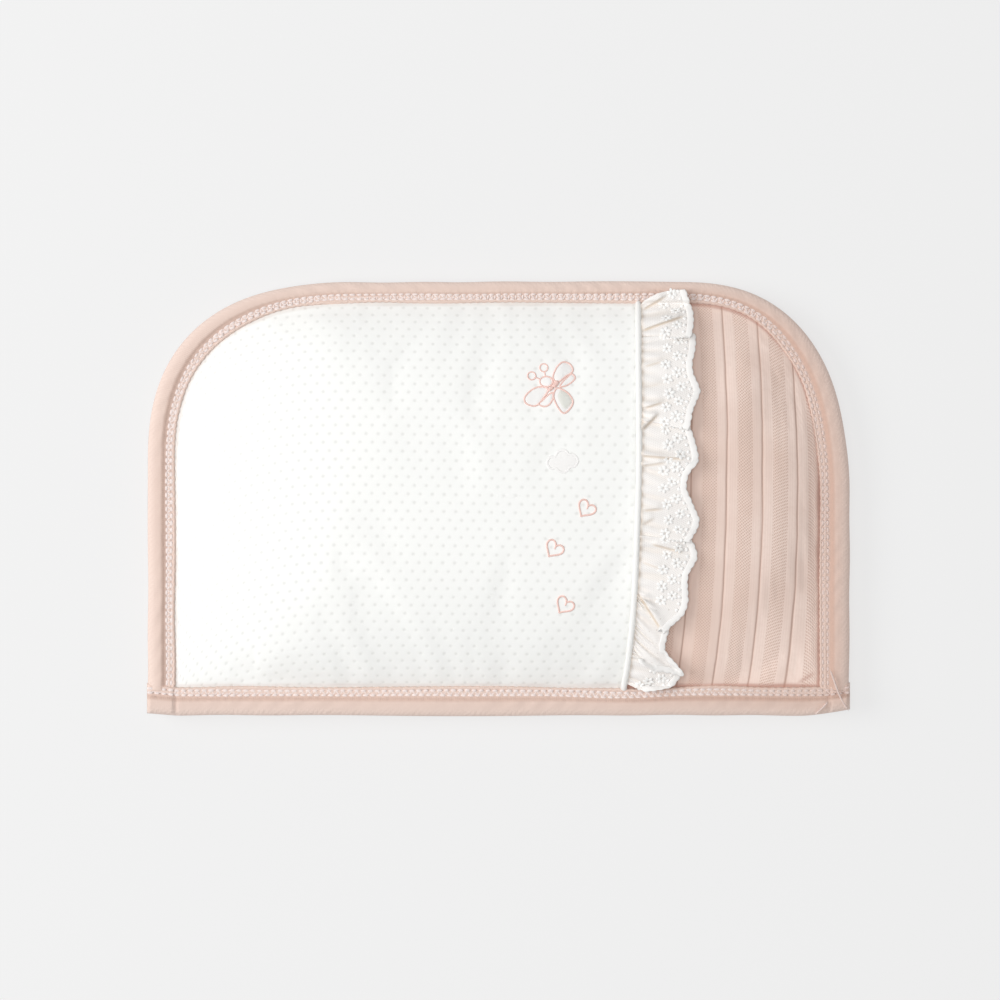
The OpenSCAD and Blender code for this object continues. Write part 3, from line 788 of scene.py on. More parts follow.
@dataclass(frozen=True)
class PillowForm:
    """Outline and heights of the stuffed pillow."""

    half_w: float
    half_h: float
    left_corner: tuple[float, float] = (97.0, 84.0)
    right_corner: tuple[float, float] = (77.0, 104.0)
    power: float = 2.5
    side_w: float = 13.0
    top_w: float = 10.0
    bottom_w: float = 13.5
    mid_z: float = 11.3
    wadding_h: float = 0.5
    cover_t: float = 0.8
    crown: float = 21.0
    drop: float = 10.0
    edge_run: float = 105.0
    seam_top_x: float = 63.5
    seam_swing: float = 6.4

    @classmethod
    def from_frame(cls) -> "PillowForm":
        """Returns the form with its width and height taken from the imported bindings."""
        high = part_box("side_binding")[1] / MM
        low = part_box("bottom_binding")[0] / MM
        return cls(half_w=-low.x, half_h=high.y)

    @property
    def left(self) -> float:
        """Returns the left end of the padded field."""
        return self.side_w - self.half_w

    @property
    def right(self) -> float:
        """Returns the right end of the padded field."""
        return self.half_w - self.side_w

    @property
    def low(self) -> float:
        """Returns the lower end of the padded field."""
        return self.bottom_w - self.half_h

    def corner(self, x: Array) -> tuple[Array, Array]:
        """Returns the width and height of the rounded corner on each point's side."""
        return tuple(np.where(x < 0, a, b) for a, b in zip(self.left_corner, self.right_corner))

    def past(self, x: Array, q: Array | float) -> Array:
        """Returns how far x is into its rounded corner, from 0 to 1."""
        w, _ = self.corner(x)
        return np.clip((np.abs(x) - (self.half_w - w)) / (w - q * self.side_w), 0, 1)

    def dome_y(self, x: Array, q: Array | float) -> Array:
        """Returns the y of the dome's edge, a share q of the binding's width in from the outside."""
        _, h = self.corner(x)
        return self.half_h - h + (h - q * self.top_w) * (1 - self.past(x, q) ** self.power) ** (1 / self.power)

    def share_up(self, x: Array, y: Array) -> Array:
        """Returns how far up the padded field a point is, from 0 to 1."""
        return np.clip((y - self.low) / (self.dome_y(x, 1.0) - self.low), 0, 1)

    def fullness(self, x: Array, v: Array) -> Array:
        """Returns 0 at the padded field's edge, rising to 1 in its middle."""
        run = np.clip(np.minimum(x - self.left, self.right - x) / self.edge_run, 0, 1)
        return (1 - (1 - run) ** 3) * (1 - np.abs(2 * v - 1) ** 3.5)

    def top(self, x: Array, v: Array) -> Array:
        """Returns the height of the filling's upper side."""
        return self.mid_z + self.wadding_h + self.crown * self.fullness(x, v)

    def bottom(self, x: Array, v: Array) -> Array:
        """Returns the height of the filling's lower side."""
        return self.mid_z - self.wadding_h - np.minimum(self.drop, 1.7 * self.drop * self.fullness(x, v))

    def seam_x(self, v: Array) -> Array:
        """Returns the x of the panel seam at a share up the padded field."""
        return self.seam_top_x - self.seam_swing * (1 - v) ** 4

    def edge_gaps(self, x: Array, y: Array) -> list[tuple[Array, Array]]:
        """Measures each point against the four bound edges.

        Args:
            x: Places across.
            y: Places up.

        Returns:
            For each edge, the distance from it and the distance along it.
        """
        w, h = self.corner(x)
        along_x = np.maximum(np.abs(x) - (self.half_w - w), 0)
        along_y = np.maximum(y - (self.half_h - h), 1e-3)
        size = ((along_x / (w - self.side_w)) ** self.power + (along_y / (h - self.top_w)) ** self.power)
        gap = np.hypot(along_x, along_y) * (size ** (-1 / self.power) - 1)
        gap = np.where(y > self.half_h - h, gap, 99.0)
        turn = np.arctan2(along_x, along_y) * 80 * np.sign(x) + np.where(along_x > 0, 0, x)
        return [(gap, turn), (y - self.low, x), (x - self.left, y), (self.right - x, y + 40)]


@dataclass
class Relief:
    """Small heights that the stuffing adds, on an even grid over the padded field."""

    form: PillowForm
    heights: Array

    def at(self, x: Array, v: Array) -> Array:
        """Reads the heights.

        Args:
            x: Places across in millimetres.
            v: Shares up the padded field.

        Returns:
            The heights there in millimetres.
        """
        n, m = self.heights.shape
        i = np.clip((x - self.form.left) / (self.form.right - self.form.left), 0, 1) * (n - 1.001)
        j = np.clip(v, 0, 1) * (m - 1.001)
        a, b = i.astype(int), j.astype(int)
        s, t = i - a, j - b
        s, t = s * s * (3 - 2 * s), t * t * (3 - 2 * t)
        grid = self.heights
        near = grid[a, b] * (1 - t) + grid[a, b + 1] * t
        far = grid[a + 1, b] * (1 - t) + grid[a + 1, b + 1] * t
        return near * (1 - s) + far * s


def blurred(grid: Array, times: int) -> Array:
    """Returns a grid smoothed by averaging with its neighbours a number of times."""
    for _ in range(times):
        wide = np.pad(grid, 1, mode="edge")
        grid = (
            wide[:-2, 1:-1] + wide[2:, 1:-1] + wide[1:-1, :-2] + wide[1:-1, 2:] + 2 * wide[1:-1, 1:-1]
        ) / 6
    return grid


@dataclass
class StuffedPad:
    """The wadding, blown up by a short cloth simulation inside its bound edge."""

    form: PillowForm
    columns: int = 75
    rows: int = 45
    frames: int = 20
    pressure: float = 4.0
    slack: float = 0.03
    below: float = 1.3
    soft_share: float = 0.12
    soft_cap: float = 1.2
    fine_share: float = 0.7
    fine_cap: float = 0.8

    def field(self) -> tuple[Array, Array, Array]:
        """Returns the grid's places across, places up and shares up."""
        form = self.form
        x, v = np.meshgrid(np.linspace(form.left, form.right, self.columns), np.linspace(0, 1, self.rows), indexing="ij")
        return x, form.low + v * (form.dome_y(x, 1.0) - form.low), v

    def solid(self) -> bpy.types.Object:
        """Makes the closed pad, its upper grid first and its lower grid after it.

        Returns:
            The pad, whose edge points belong to both grids.
        """
        x, y, v = self.field()
        n, m = x.shape
        inside = np.zeros((n, m), dtype=bool)
        inside[1:-1, 1:-1] = True
        middle = self.form.mid_z
        under = np.minimum(self.below, (self.form.top(x, v) - middle) / 2)
        top = np.where(inside, self.form.top(x, v) - under, middle)
        top = np.stack([x, y, top], axis=-1).reshape(-1, 3)
        low = np.stack([x, y, self.form.bottom(x, v)], axis=-1).reshape(-1, 3)
        upper = np.arange(n * m).reshape(n, m)
        lower = upper.copy()
        lower[inside] = n * m + np.arange(inside.sum())
        faces = []
        for i in range(n - 1):
            for j in range(m - 1):
                faces.append([upper[i, j], upper[i + 1, j], upper[i + 1, j + 1], upper[i, j + 1]])
                faces.append([lower[i, j], lower[i, j + 1], lower[i + 1, j + 1], lower[i + 1, j]])
        mesh = bpy.data.meshes.new("stuffed_pad")
        mesh.from_pydata((np.vstack([top, low[inside.ravel()]]) * MM).tolist(), [], np.array(faces).tolist())
        mesh.shade_smooth()
        pad = bpy.data.objects.new("stuffed_pad", mesh)
        bpy.context.scene.collection.objects.link(pad)
        held = pad.vertex_groups.new(name="bound edge")
        held.add([int(k) for k in upper[~inside]], 1.0, "REPLACE")
        return pad

    def blow_up(self, pad: bpy.types.Object) -> Array:
        """Runs the cloth simulation.

        Args:
            pad: The closed pad with its bound edge in a vertex group.

        Returns:
            The places of its points afterwards, in millimetres.
        """
        modifier = pad.modifiers.new("Cloth", "CLOTH")
        cloth = modifier.settings
        cloth.quality = 6
        cloth.mass = 0.25
        cloth.tension_stiffness = 12
        cloth.compression_stiffness = 12
        cloth.shear_stiffness = 4
        cloth.bending_stiffness = 0.2
        cloth.vertex_group_mass = "bound edge"
        cloth.use_pressure = True
        cloth.uniform_pressure_force = self.pressure
        cloth.shrink_min = -self.slack
        cloth.effector_weights.gravity = 0
        modifier.collision_settings.use_collision = False
        modifier.point_cache.frame_start = 1
        modifier.point_cache.frame_end = self.frames
        for number in range(1, self.frames + 1):
            bpy.context.scene.frame_set(number)
        ready = pad.evaluated_get(bpy.context.evaluated_depsgraph_get())
        places = np.array([v.co for v in ready.data.vertices]) / MM
        pad.modifiers.remove(modifier)
        bpy.context.scene.frame_set(1)
        return places

    def build(self) -> Relief:
        """Makes the pad and reads its relief.

        Returns:
            The relief of its upper side, which the cover follows.
        """
        pad = self.solid()
        x, _, v = self.field()
        shape = x.shape
        relief = np.zeros(shape)
        plain = np.array([p.co for p in pad.data.vertices]) / MM
        rise = (self.blow_up(pad) - plain)[: x.size, 2].reshape(shape)
        broad = blurred(rise, 60)
        fine = np.clip((blurred(rise, 1) - broad) * self.fine_share, -self.fine_cap, self.fine_cap)
        relief = np.clip(broad * self.soft_share, -self.soft_cap, self.soft_cap) + fine
        relief *= np.clip(self.form.fullness(x, v) * 6, 0, 1)
        LOG.info("stuffing rose by %.2f to %.2f, relief %.2f to %.2f", rise.min(), rise.max(),
                 relief.min(), relief.max())
        plain[: x.size, 2] += relief.ravel()
        pad.data.vertices.foreach_set("co", (plain * MM).ravel())
        pad.data.update()
        WADDING.dress(pad)
        enter(pad, ("filling",))
        return Relief(self.form, relief)


@dataclass
class Face:
    """The outer side of the cover over the stuffed pad."""

    form: PillowForm
    relief: Relief
    pucker: float = 0.42

    def height(self, x: Array, y: Array) -> Array:
        """Gives the height of the front face.

        Args:
            x: Places across.
            y: Places up.

        Returns:
            Heights with the stuffing's relief and the puckers along the bound edges.
        """
        v = self.form.share_up(x, y)
        total = self.form.top(x, v) + self.form.cover_t + self.relief.at(x, v)
        for number, (gap, along) in enumerate(self.form.edge_gaps(x, y)):
            gap = np.maximum(gap, 0)
            near = bell(gap, 9.0) * gap / (gap + 1.2)
            total = total + self.pucker * near * ripple(along * 0.8 + gap * 0.1, 1.7 * number)
        return total


# ---------- Cover panels ----------


@dataclass
class CoverPanel:
    """A cover panel over a part of the padded field, with its edges in the bindings."""

    face: Face
    hem_q: float = 0.35
    hem_steps: int = 5
    stray: tuple[float, ...] = (0.3, 0.4, 0.3, 1.4)
    # Ends of the pucker at the lower right corner, which gets a painted shadow.
    corner_fold_shadow: tuple[tuple[float, float], ...] = ((136.3, -83.8), (145.0, -78.4))

    def spread(self, columns: Array, rows: int, shift: Array | None = None) -> tuple[Array, Array, Array]:
        """Lays a grid over the padded field, with hems under the bindings above and below.

        Args:
            columns: Places across, before the seam's swing.
            rows: Number of steps up the field.
            shift: How much of the seam's swing each column takes.

        Returns:
            Points, places across and places up, of which the last two stay inside the field.
        """
        form = self.face.form
        v = (1 - np.cos(np.linspace(0, math.pi, rows + 1))) / 2 * 0.35 + np.linspace(0, 1, rows + 1) * 0.65
        x0, vv = np.meshgrid(columns, v, indexing="ij")
        x = x0 - form.seam_swing * (1 - vv) ** 4 * (0 if shift is None else shift[:, None])
        y = form.low + vv * (form.dome_y(x0, 1.0) - form.low)
        y = np.minimum(y, form.dome_y(x, 1.0))
        z = self.face.height(x, y)
        points = np.stack([x, y, z], axis=-1)
        hem_z = form.mid_z + form.wadding_h + form.cover_t
        up, down = [], []
        for q in np.linspace(1, self.hem_q, self.hem_steps)[1:]:
            w, h = form.corner(columns)
            past = form.past(columns, 1.0)
            inside = past <= 0
            out_x = np.where(inside, columns, np.sign(columns) * (form.half_w - w + (w - q * form.side_w) * past))
            out_y = form.half_h - h + (h - q * form.top_w) * (1 - past**form.power) ** (1 / form.power)
            up.append(np.stack([out_x, out_y, np.full_like(out_x, hem_z)], axis=-1))
            out_y = np.full_like(out_x, q * form.bottom_w - form.half_h)
            down.insert(0, np.stack([x[:, 0], out_y, np.full_like(out_x, hem_z)], axis=-1))
        full = np.concatenate([np.stack(down, 1), points, np.stack(up, 1)], axis=1)
        return full, x, y

    def side_hem(self, points: Array, side: int) -> Array:
        """Adds the hem under a side binding.

        Args:
            points: The panel's grid.
            side: -1 at the left and 1 at the right.

        Returns:
            The grid with hem columns added on that side.
        """
        form = self.face.form
        edge = points[0 if side < 0 else -1]
        strips = []
        for q in np.linspace(1, self.hem_q, self.hem_steps)[1:]:
            strip = edge.copy()
            strip[:, 0] = side * (form.half_w - q * form.side_w)
            strip[:, 2] = form.mid_z + form.wadding_h + form.cover_t
            strips.append(strip)
        if side < 0:
            return np.concatenate([np.stack(strips[::-1]), points])
        return np.concatenate([points, np.stack(strips)])

    def edge_shade_of(self, points: Array) -> dict[str, Array]:
        """Returns a mark for painted shade: 1 in the crease where the cover meets a binding, fading within about 2 mm,
        with a painted shadow along the pucker at the lower right corner.
        """
        x, y = points[..., 0], points[..., 1]
        near = np.zeros(x.shape)
        for number, (gap, along) in enumerate(self.face.form.edge_gaps(x, y)):
            edge = np.clip(gap - self.stray[number] - 0.35 * ripple(along / 1.4, 2.0 * number), 0, None)
            near = np.maximum(near, bell(edge, 0.9))
        # Painted shadow along the pucker at the lower right corner.
        (x0, y0), (x1, y1) = self.corner_fold_shadow
        length = math.hypot(x1 - x0, y1 - y0)
        t = ((x - x0) * (x1 - x0) + (y - y0) * (y1 - y0)) / length
        off = ((y - y0) * (x1 - x0) - (x - x0) * (y1 - y0)) / length
        pinch = bell(off, 0.9) * ease(-1, 2, t) * (1 - ease(length - 4, length, t))
        return {"edge": np.maximum(near, 0.6 * pinch)}

    def cloth_of(self, points: Array, across: Array, warp: Array) -> Array:
        """Gives cloth coordinates that follow the surface.

        Args:
            points: The panel's grid.
            across: Cloth place across for each column.
            warp: Extra cloth place across for each point.

        Returns:
            Cloth coordinates in millimetres.
        """
        run = np.linalg.norm(np.diff(points[:, :, 1:], axis=1), axis=-1)
        up = np.concatenate([np.zeros((len(points), 1)), np.cumsum(run, axis=1)], axis=1)
        middle = up[:, points.shape[1] // 2][:, None]
        return np.stack([across[:, None] + warp, (up - middle) * 0.985], axis=-1)


def lengths_across(points: Array, start: int) -> Array:
    """Returns the distance of each column from a start column, measured half-way up."""
    line = points[:, points.shape[1] // 2]
    run = run_lengths(line)
    return run - run[start]


@dataclass
class DottedPanel(CoverPanel):
    """The white panel with staggered dimples."""

    flat: tuple[float, float] = (0.228, 0.200)
    area: float = 0.0405

    def build(self) -> bpy.types.Object:
        """Returns the panel, stretched over the pad up to the seam."""
        form = self.face.form
        end = form.seam_top_x - 1.2
        columns = form.left + (end - form.left) * (1 - np.cos(np.linspace(0, math.pi / 2, 150)))
        share = (columns - form.left) / (end - form.left)
        points, _, _ = self.spread(columns, 120, share)
        points = self.side_hem(points, -1)
        tuck = points[-1:].copy() + np.array([0.9, 0, -1.2])
        points = np.concatenate([points, tuck])
        across = lengths_across(points, len(points) - 1)
        x, y = points[..., 0], points[..., 1]
        warp = 0.5 * np.sin(y / 31 + x / 70) + 0.35 * np.sin(x / 19 + 1.0)
        warp = warp - form.seam_swing * 0.1 * np.sin(y / 40)
        cloth = self.cloth_of(points, across, warp)
        cloth[..., 1] += 0.5 * np.sin(x / 37 + 0.6) + 0.3 * np.sin(y / 23 + x / 50)
        piece = grid_piece("dotted_front", points, cloth, marks=self.edge_shade_of(points))
        DOTTED.dress(piece)
        enter(piece, ("dotted_panel",))
        return piece


@dataclass
class RibbedPanel(CoverPanel):
    """The dusty pink panel with drawn grooves and eyelet bands."""

    flat: tuple[float, float] = (0.098, 0.200)
    area: float = 0.0165
    groove_depth: float = 0.26
    groove_half: float = 0.5

    def build(self) -> bpy.types.Object:
        """Returns the panel, stretched over the pad from the seam to the right side."""
        form = self.face.form
        start = form.seam_top_x + 1.4
        knee = form.right - 9
        flat_part = np.arange(start, knee, 0.5)
        close = knee + 9 * np.sin(np.linspace(0, math.pi / 2, 30))
        columns = np.concatenate([flat_part, close])
        share = np.clip((form.right - columns) / (form.right - start - 70), 0, 1)
        points, x, y = self.spread(columns, 120, share)
        hem = self.hem_steps - 1
        v = form.share_up(x, y)
        lean = 2.2 * np.clip((v - 0.6) / 0.4, 0, 1) ** 2 * share[:, None]
        plain = np.broadcast_to(columns[:, None], x.shape)
        u = np.zeros(points.shape[:2])
        u[:, hem:-hem] = plain + lean
        u[:, :hem] = u[:, hem : hem + 1]
        u[:, -hem:] = u[:, -hem - 1 : -hem]
        off = (u - RIBBED.first + RIBBED.pitch / 2) % RIBBED.pitch - RIBBED.pitch / 2
        swell = 0.1 * np.cos(2 * math.pi * off / RIBBED.pitch)
        inner = np.zeros(points.shape[:2])
        inner[:, hem:-hem] = np.clip(form.fullness(x, v) * 5, 0, 1)
        points[..., 2] -= (self.groove_depth * bell(off, self.groove_half) + swell) * inner
        points = self.side_hem(points, 1)
        u = np.concatenate([u, np.stack([u[-1] + 2.0 * (k + 1) for k in range(hem)])])
        tuck = points[:1].copy() + np.array([-1.4, 0, -1.2])
        points = np.concatenate([tuck, points])
        u = np.concatenate([u[:1] - 1.4, u])
        cloth = self.cloth_of(points, np.zeros(len(points)), u)
        piece = grid_piece("ribbed_front", points, cloth, marks=self.edge_shade_of(points))
        RIBBED.dress(piece)
        enter(piece, ("ribbed_panel",))
        return piece


@dataclass
class BackPanel(CoverPanel):
    """The back of the cover, flat where the pillow rests on it."""

    flat: tuple[float, float] = (0.330, 0.200)
    area: float = 0.056

    def build(self) -> bpy.types.Object:
        """Returns the back, of the same dotted jersey."""
        form = self.face.form
        middle = (form.left + form.right) / 2
        columns = middle + (form.right - middle) * np.sin(np.linspace(-math.pi / 2, math.pi / 2, 180))
        points, x, y = self.spread(columns, 90)
        hem = self.hem_steps - 1
        v = form.share_up(x, y)
        low = form.bottom(x, v) - form.cover_t
        edge = form.mid_z - form.wadding_h - form.cover_t
        for gap, along in form.edge_gaps(x, y):
            gap = np.maximum(gap, 0)
            low = low - 0.3 * bell(gap, 7.0) * gap / (gap + 1.2) * ripple(along * 0.7, 4.0)
        points[:, hem:-hem, 2] = np.maximum(low, 0.0)
        points[:, :hem, 2] = edge
        points[:, -hem:, 2] = edge
        points = self.side_hem(self.side_hem(points, -1), 1)
        points[:hem, :, 2] = edge
        points[-hem:, :, 2] = edge
        across = lengths_across(points, len(points) // 2)
        cloth = self.cloth_of(points, across, np.zeros(points.shape[:2]))
        piece = grid_piece("dotted_back", points, cloth)
        piece.data.flip_normals()
        DOTTED.dress(piece)
        enter(piece, ("back_panel",))
        return piece


# ---------- Bindings and their stitches ----------


@dataclass
class Binding:
    """A strip of jersey rolled over an edge and held by two stitch rows on each side."""

    form: PillowForm
    puff: float = 3.6
    row_inset: float = 1.8
    row_gap: float = 2.1
    pitch: float = 3.2
    turned: float = 3.0
    station: float = 0.8
    phase: float = 0.0
    outer: Array | None = None
    inward: Array | None = None
    run: Array | None = None

    def set_path(self, outer: Array, inward: Array) -> None:
        """Keeps the evenly spaced path of the outer edge and the way in from it.

        Args:
            outer: Points of the outer edge.
            inward: Step from each of them to the binding's inner edge.
        """
        both = np.concatenate([outer, inward], axis=1)
        run = run_lengths(outer + inward / 2)
        marks = np.linspace(0, run[-1], round(run[-1] / self.station) + 1)
        even = np.stack([np.interp(marks, run, both[:, k]) for k in range(4)], axis=1)
        self.outer, self.inward, self.run = even[:, :2], even[:, 2:], marks

    def rise(self, s: Array, q: Array, e: Array) -> Array:
        """Gives the roll's height above the bound edge's middle.

        Args:
            s: Distances along the path.
            q: Shares of the width in from the outer edge.
            e: Distances in from the inner edge in millimetres.

        Returns:
            Heights in millimetres.
        """
        roll = (1 - np.clip(1 - q / 0.42, 0, 1) ** 2.3) ** (1 / 2.3)
        base = roll * (1 - 0.36 * ease(0.42, 0.78, q)) * (1 - 0.4 * bell(e, 0.45))
        size = self.puff * (1 + 0.045 * np.sin(s / 23 + self.phase) + 0.03 * np.sin(s / 9.7 + 1))
        stitch = 0.5 + 0.5 * np.cos(2 * math.pi * s / self.pitch)
        rows = bell(e - self.row_inset, 0.5) + bell(e - self.row_inset - self.row_gap, 0.5)
        furrow = bell(e - 5.1, 0.8)
        drag = np.sin((s + 1.1 * e) / 1.7 + 1.5 * np.sin(s / 11 + self.phase)) * bell(e - 7.5, 2.4)
        drag = drag * (0.6 + 0.4 * np.sin(s / 17 + 2 * self.phase))
        gather = (stitch - 0.5) * bell(e - 5.6, 1.3)
        total = base * size - rows * (0.3 + 0.3 * stitch) - 0.45 * furrow + 0.2 * drag + 0.2 * gather
        return total * np.clip(roll * 3, 0, 1)

    def section(self, side: int) -> tuple[Array, Array]:
        """Gives the section's samples.

        Args:
            side: 1 for the front and -1 for the back.

        Returns:
            Shares of the width in from the outer edge, and whether each is on the turned-under hem.
        """
        fine = np.concatenate([np.linspace(1, 0.5, 24), np.linspace(0.5, 0.12, 10)[1:], [0.08, 0.05, 0.025, 0.008, 0]])
        hem = np.linspace(1 - self.turned / 13, 1, 4)[:-1]
        q = np.concatenate([hem, fine])
        under = np.concatenate([np.ones(len(hem)), np.zeros(len(fine))])
        return (q, under) if side > 0 else (q[::-1][1:], under[::-1][1:])

    def widths(self) -> Array:
        """Returns the binding's width at each station."""
        return np.linalg.norm(self.inward, axis=1)

    def lift(self, s: Array, q: Array, e: Array) -> Array:
        """Returns the scale of the roll at each point, for ends that are folded."""
        return np.ones_like(s + q)

    def open_by(self, s: Array) -> Array:
        """Returns 1 where the strip's two sides stand apart and 0 where they meet."""
        return np.ones_like(s)

    def shape(self) -> tuple[Array, Array]:
        """Gives the whole rolled strip.

        Returns:
            Points, and cloth coordinates.
        """
        s = self.run[:, None]
        wide = self.widths()[:, None]
        wave = 0.15 * np.cos(2 * math.pi * s / self.pitch) + 0.3 * np.sin(s / 11 + 2 * np.sin(s / 37) + self.phase)
        columns, cloth = [], []
        for side in (1, -1):
            q, under = self.section(side)
            q, under = q[None, :], under[None, :]
            e = (1 - q) * wide
            height = self.rise(s, q, e) * self.lift(s, q, e)
            inner = self.form.wadding_h + self.form.cover_t + 0.15
            height = np.maximum(height, np.where(q > 0.2, inner, 0))
            height = np.where(under > 0, inner - 0.4, height) * self.open_by(s)
            bulge = 0.3 * np.sin(s / 31) + 0.22 * np.sin(s / 9 + 3 * np.sin(s / 43) + self.phase)
            reach = q + wave * ease(0.6, 1.0, q) / wide + (0.3 + bulge * 0.6) * (1 - q) / wide
            plan = self.outer[:, None, :] + self.inward[:, None, :] * reach[..., None]
            z = self.form.mid_z + side * height
            columns.append(np.concatenate([plan, z[..., None]], axis=-1))
            across = 13 * (1 - q) if side > 0 else 13 * (1 + q)
            across = across - side * under * 26 * (1 - q)
            cloth.append(np.stack(np.broadcast_arrays(s, across), axis=-1))
        return np.concatenate(columns, axis=1), np.concatenate(cloth, axis=1)

    def row(self, inset: float, side: int, inset_end: float = 0.0) -> tuple[Array, Array]:
        """Traces a stitch row over the roll.

        Args:
            inset: Distance in from the inner edge.
            side: 1 for the front and -1 for the back.
            inset_end: Length left out at each end.

        Returns:
            Points of the row, and the way up from the cloth at each.
        """
        keep = (self.run >= inset_end) & (self.run <= self.run[-1] - inset_end)
        s, wide = self.run[keep], self.widths()[keep]
        e = inset + 0.12 * np.sin(s / 9 + inset)
        q = 1 - e / wide
        height = self.rise(s, q, e) * self.lift(s, q, e)
        height = np.maximum(height, self.form.wadding_h + self.form.cover_t + 0.15)
        plan = self.outer[keep] + self.inward[keep] * q[:, None]
        z = self.form.mid_z + side * (height + 0.12)
        up = np.stack([0 * z, 0 * z, side + 0 * z], axis=-1)
        return np.concatenate([plan, z[:, None]], axis=1), up


@dataclass
class SideBinding(Binding):
    """The binding up both sides and over the dome."""

    right_extra: float = 1.1
    flat: tuple[float, float] = (0.0345, 0.662)

    def build(self) -> bpy.types.Object:
        """Returns the binding."""
        form = self.form
        end = form.low - 1.5
        outer, inward = [], []
        left_w, left_h = form.left_corner
        right_w, right_h = form.right_corner
        for y in np.linspace(end, form.half_h - left_h, 60)[:-1]:
            outer.append((-form.half_w, y))
            inward.append((form.side_w, 0))
        for side, w, h in ((-1, left_w, left_h), (1, right_w, right_h)):
            turn = np.linspace(0, math.pi / 2, 400)
            for a in turn if side < 0 else turn[::-1]:
                c, s = math.cos(a) ** (2 / form.power), math.sin(a) ** (2 / form.power)
                outer.append((side * (form.half_w - w + w * c), form.half_h - h + h * s))
                wide = form.side_w + (self.right_extra if side > 0 else 0)
                inward.append((-side * wide * c, -form.top_w * s))
        for y in np.linspace(form.half_h - right_h, end, 60)[1:]:
            outer.append((form.half_w, y))
            inward.append((-form.side_w - self.right_extra, 0))
        self.set_path(np.array(outer, dtype=float), np.array(inward, dtype=float))
        points, cloth = self.shape()
        piece = grid_piece("side_roll", points, cloth, facing=Facing.OUT)
        BINDING.dress(piece)
        enter(piece, ("side_binding",))
        return piece


@dataclass
class BottomBinding(Binding):
    """The binding along the straight edge, with its ends folded in."""

    flat: tuple[float, float] = (0.0355, 0.345)
    left_fold: float = 12.5
    right_fold: float = 9.0
    fold_lift: float = 0.2

    def ends(self, s: Array) -> Array:
        """Returns 1 on the folded ends and 0 between them."""
        total = 2 * self.form.half_w
        return 1 - ease(self.left_fold - 0.5, self.left_fold + 0.6, s) * ease(
            self.right_fold - 0.5, self.right_fold + 0.6, total - s
        )

    def lift(self, s: Array, q: Array, e: Array) -> Array:
        """Returns the scale of the roll: fuller at the folded ends, with a pinch beside each fold."""
        total = 2 * self.form.half_w
        near = np.minimum(s, total - s)
        round_off = np.sqrt(1 - (1 - np.clip(near / 1.6, 0, 1)) ** 2)
        pinch = bell(s - self.left_fold - 0.6, 0.7) + bell(total - s - self.right_fold - 0.6, 0.7)
        return (1 + self.fold_lift * self.ends(s) - 0.22 * pinch) * round_off + 0 * q

    def open_by(self, s: Array) -> Array:
        """Returns 1 where the strip's two sides stand apart and 0 at its closed ends."""
        near = np.minimum(s, 2 * self.form.half_w - s)
        return np.sqrt(1 - (1 - np.clip(near / 0.9, 0, 1)) ** 2)

    def build(self) -> bpy.types.Object:
        """Returns the binding."""
        form = self.form
        x = np.linspace(-form.half_w, form.half_w, 600)
        left, right = x + form.half_w, form.half_w - x
        low = -form.half_h + 2.9 * np.clip(1 - right / 22, 0, 1) ** 1.6 + 0.9 * np.clip(1 - left / 14, 0, 1)
        high = form.low + 1.3 * np.clip(1 - left / 14, 0, 1) + 1.5 * np.clip(1 - right / 12, 0, 1)
        high = high - 1.0 * bell(x - 57, 22) + 0.5 * bell(x - 95, 22)
        outer = np.stack([x, low], axis=1)
        inward = np.stack([0 * x, high - low], axis=1)
        self.set_path(outer, inward)
        points, cloth = self.shape()
        piece = grid_piece("bottom_roll", points, cloth, facing=Facing.OUT)
        BINDING.dress(piece)
        enter(piece, ("bottom_binding",))
        return piece


@dataclass
class Coverstitch:
    """Two needle rows with a looper thread between them, on both sides of a binding."""

    binding: Binding
    name: str
    node: str
    end: float = 1.0

    def rows(self, side: int) -> list[bpy.types.Object]:
        """Sets the stitches of one side.

        Args:
            side: 1 for the front and -1 for the back.

        Returns:
            The meshes of its two needle rows and its looper thread.
        """
        made = []
        insets = (self.binding.row_inset, self.binding.row_inset + self.binding.row_gap)
        traced = [self.binding.row(inset, side, self.end) for inset in insets]
        stitch = ShapeSetter(SetShape.STITCH, (2.9, 1.45, 0.95), pitch=self.binding.pitch, seed=5 + side)
        for number, (line, up) in enumerate(traced):
            along = np.gradient(line, axis=0)
            along = along / np.linalg.norm(along, axis=1)[:, None]
            places = points_piece(f"row {number}", line, {"up": up, "along": along}, True)
            made.append(stitch.run(f"{self.name}_row", places, SEAM_THREAD))
        near, far = (line for line, _ in traced)
        middle = evenly((near + far) / 2, self.binding.pitch / 2)
        gap = evenly(near, self.binding.pitch / 2)
        count = min(len(middle), len(gap))
        swing = np.where(np.arange(count) % 2 == 0, 0.8, -0.8)[:, None]
        zigzag = middle[:count] + (gap[:count] - middle[:count]) * swing
        half = (zigzag[1:] + zigzag[:-1]) / 2
        along = np.diff(zigzag, axis=0)
        along = along / np.linalg.norm(along, axis=1)[:, None]
        up = np.tile([0.0, 0.0, float(side)], (len(half), 1))
        looper = ShapeSetter(SetShape.BLOB, (2.6, 0.85, 0.6), seed=9 + side)
        places = points_piece("looper", half, {"up": up, "along": along}, False)
        made.append(looper.run(f"{self.name}_looper", places, SEAM_THREAD))
        return made

    def build(self) -> bpy.types.Object:
        """Returns all the stitches of the binding as one piece."""
        piece = merged(self.name, self.rows(1) + self.rows(-1))
        enter(piece, (self.node,))
        return piece


# ---------- Seam, piping and frill ----------


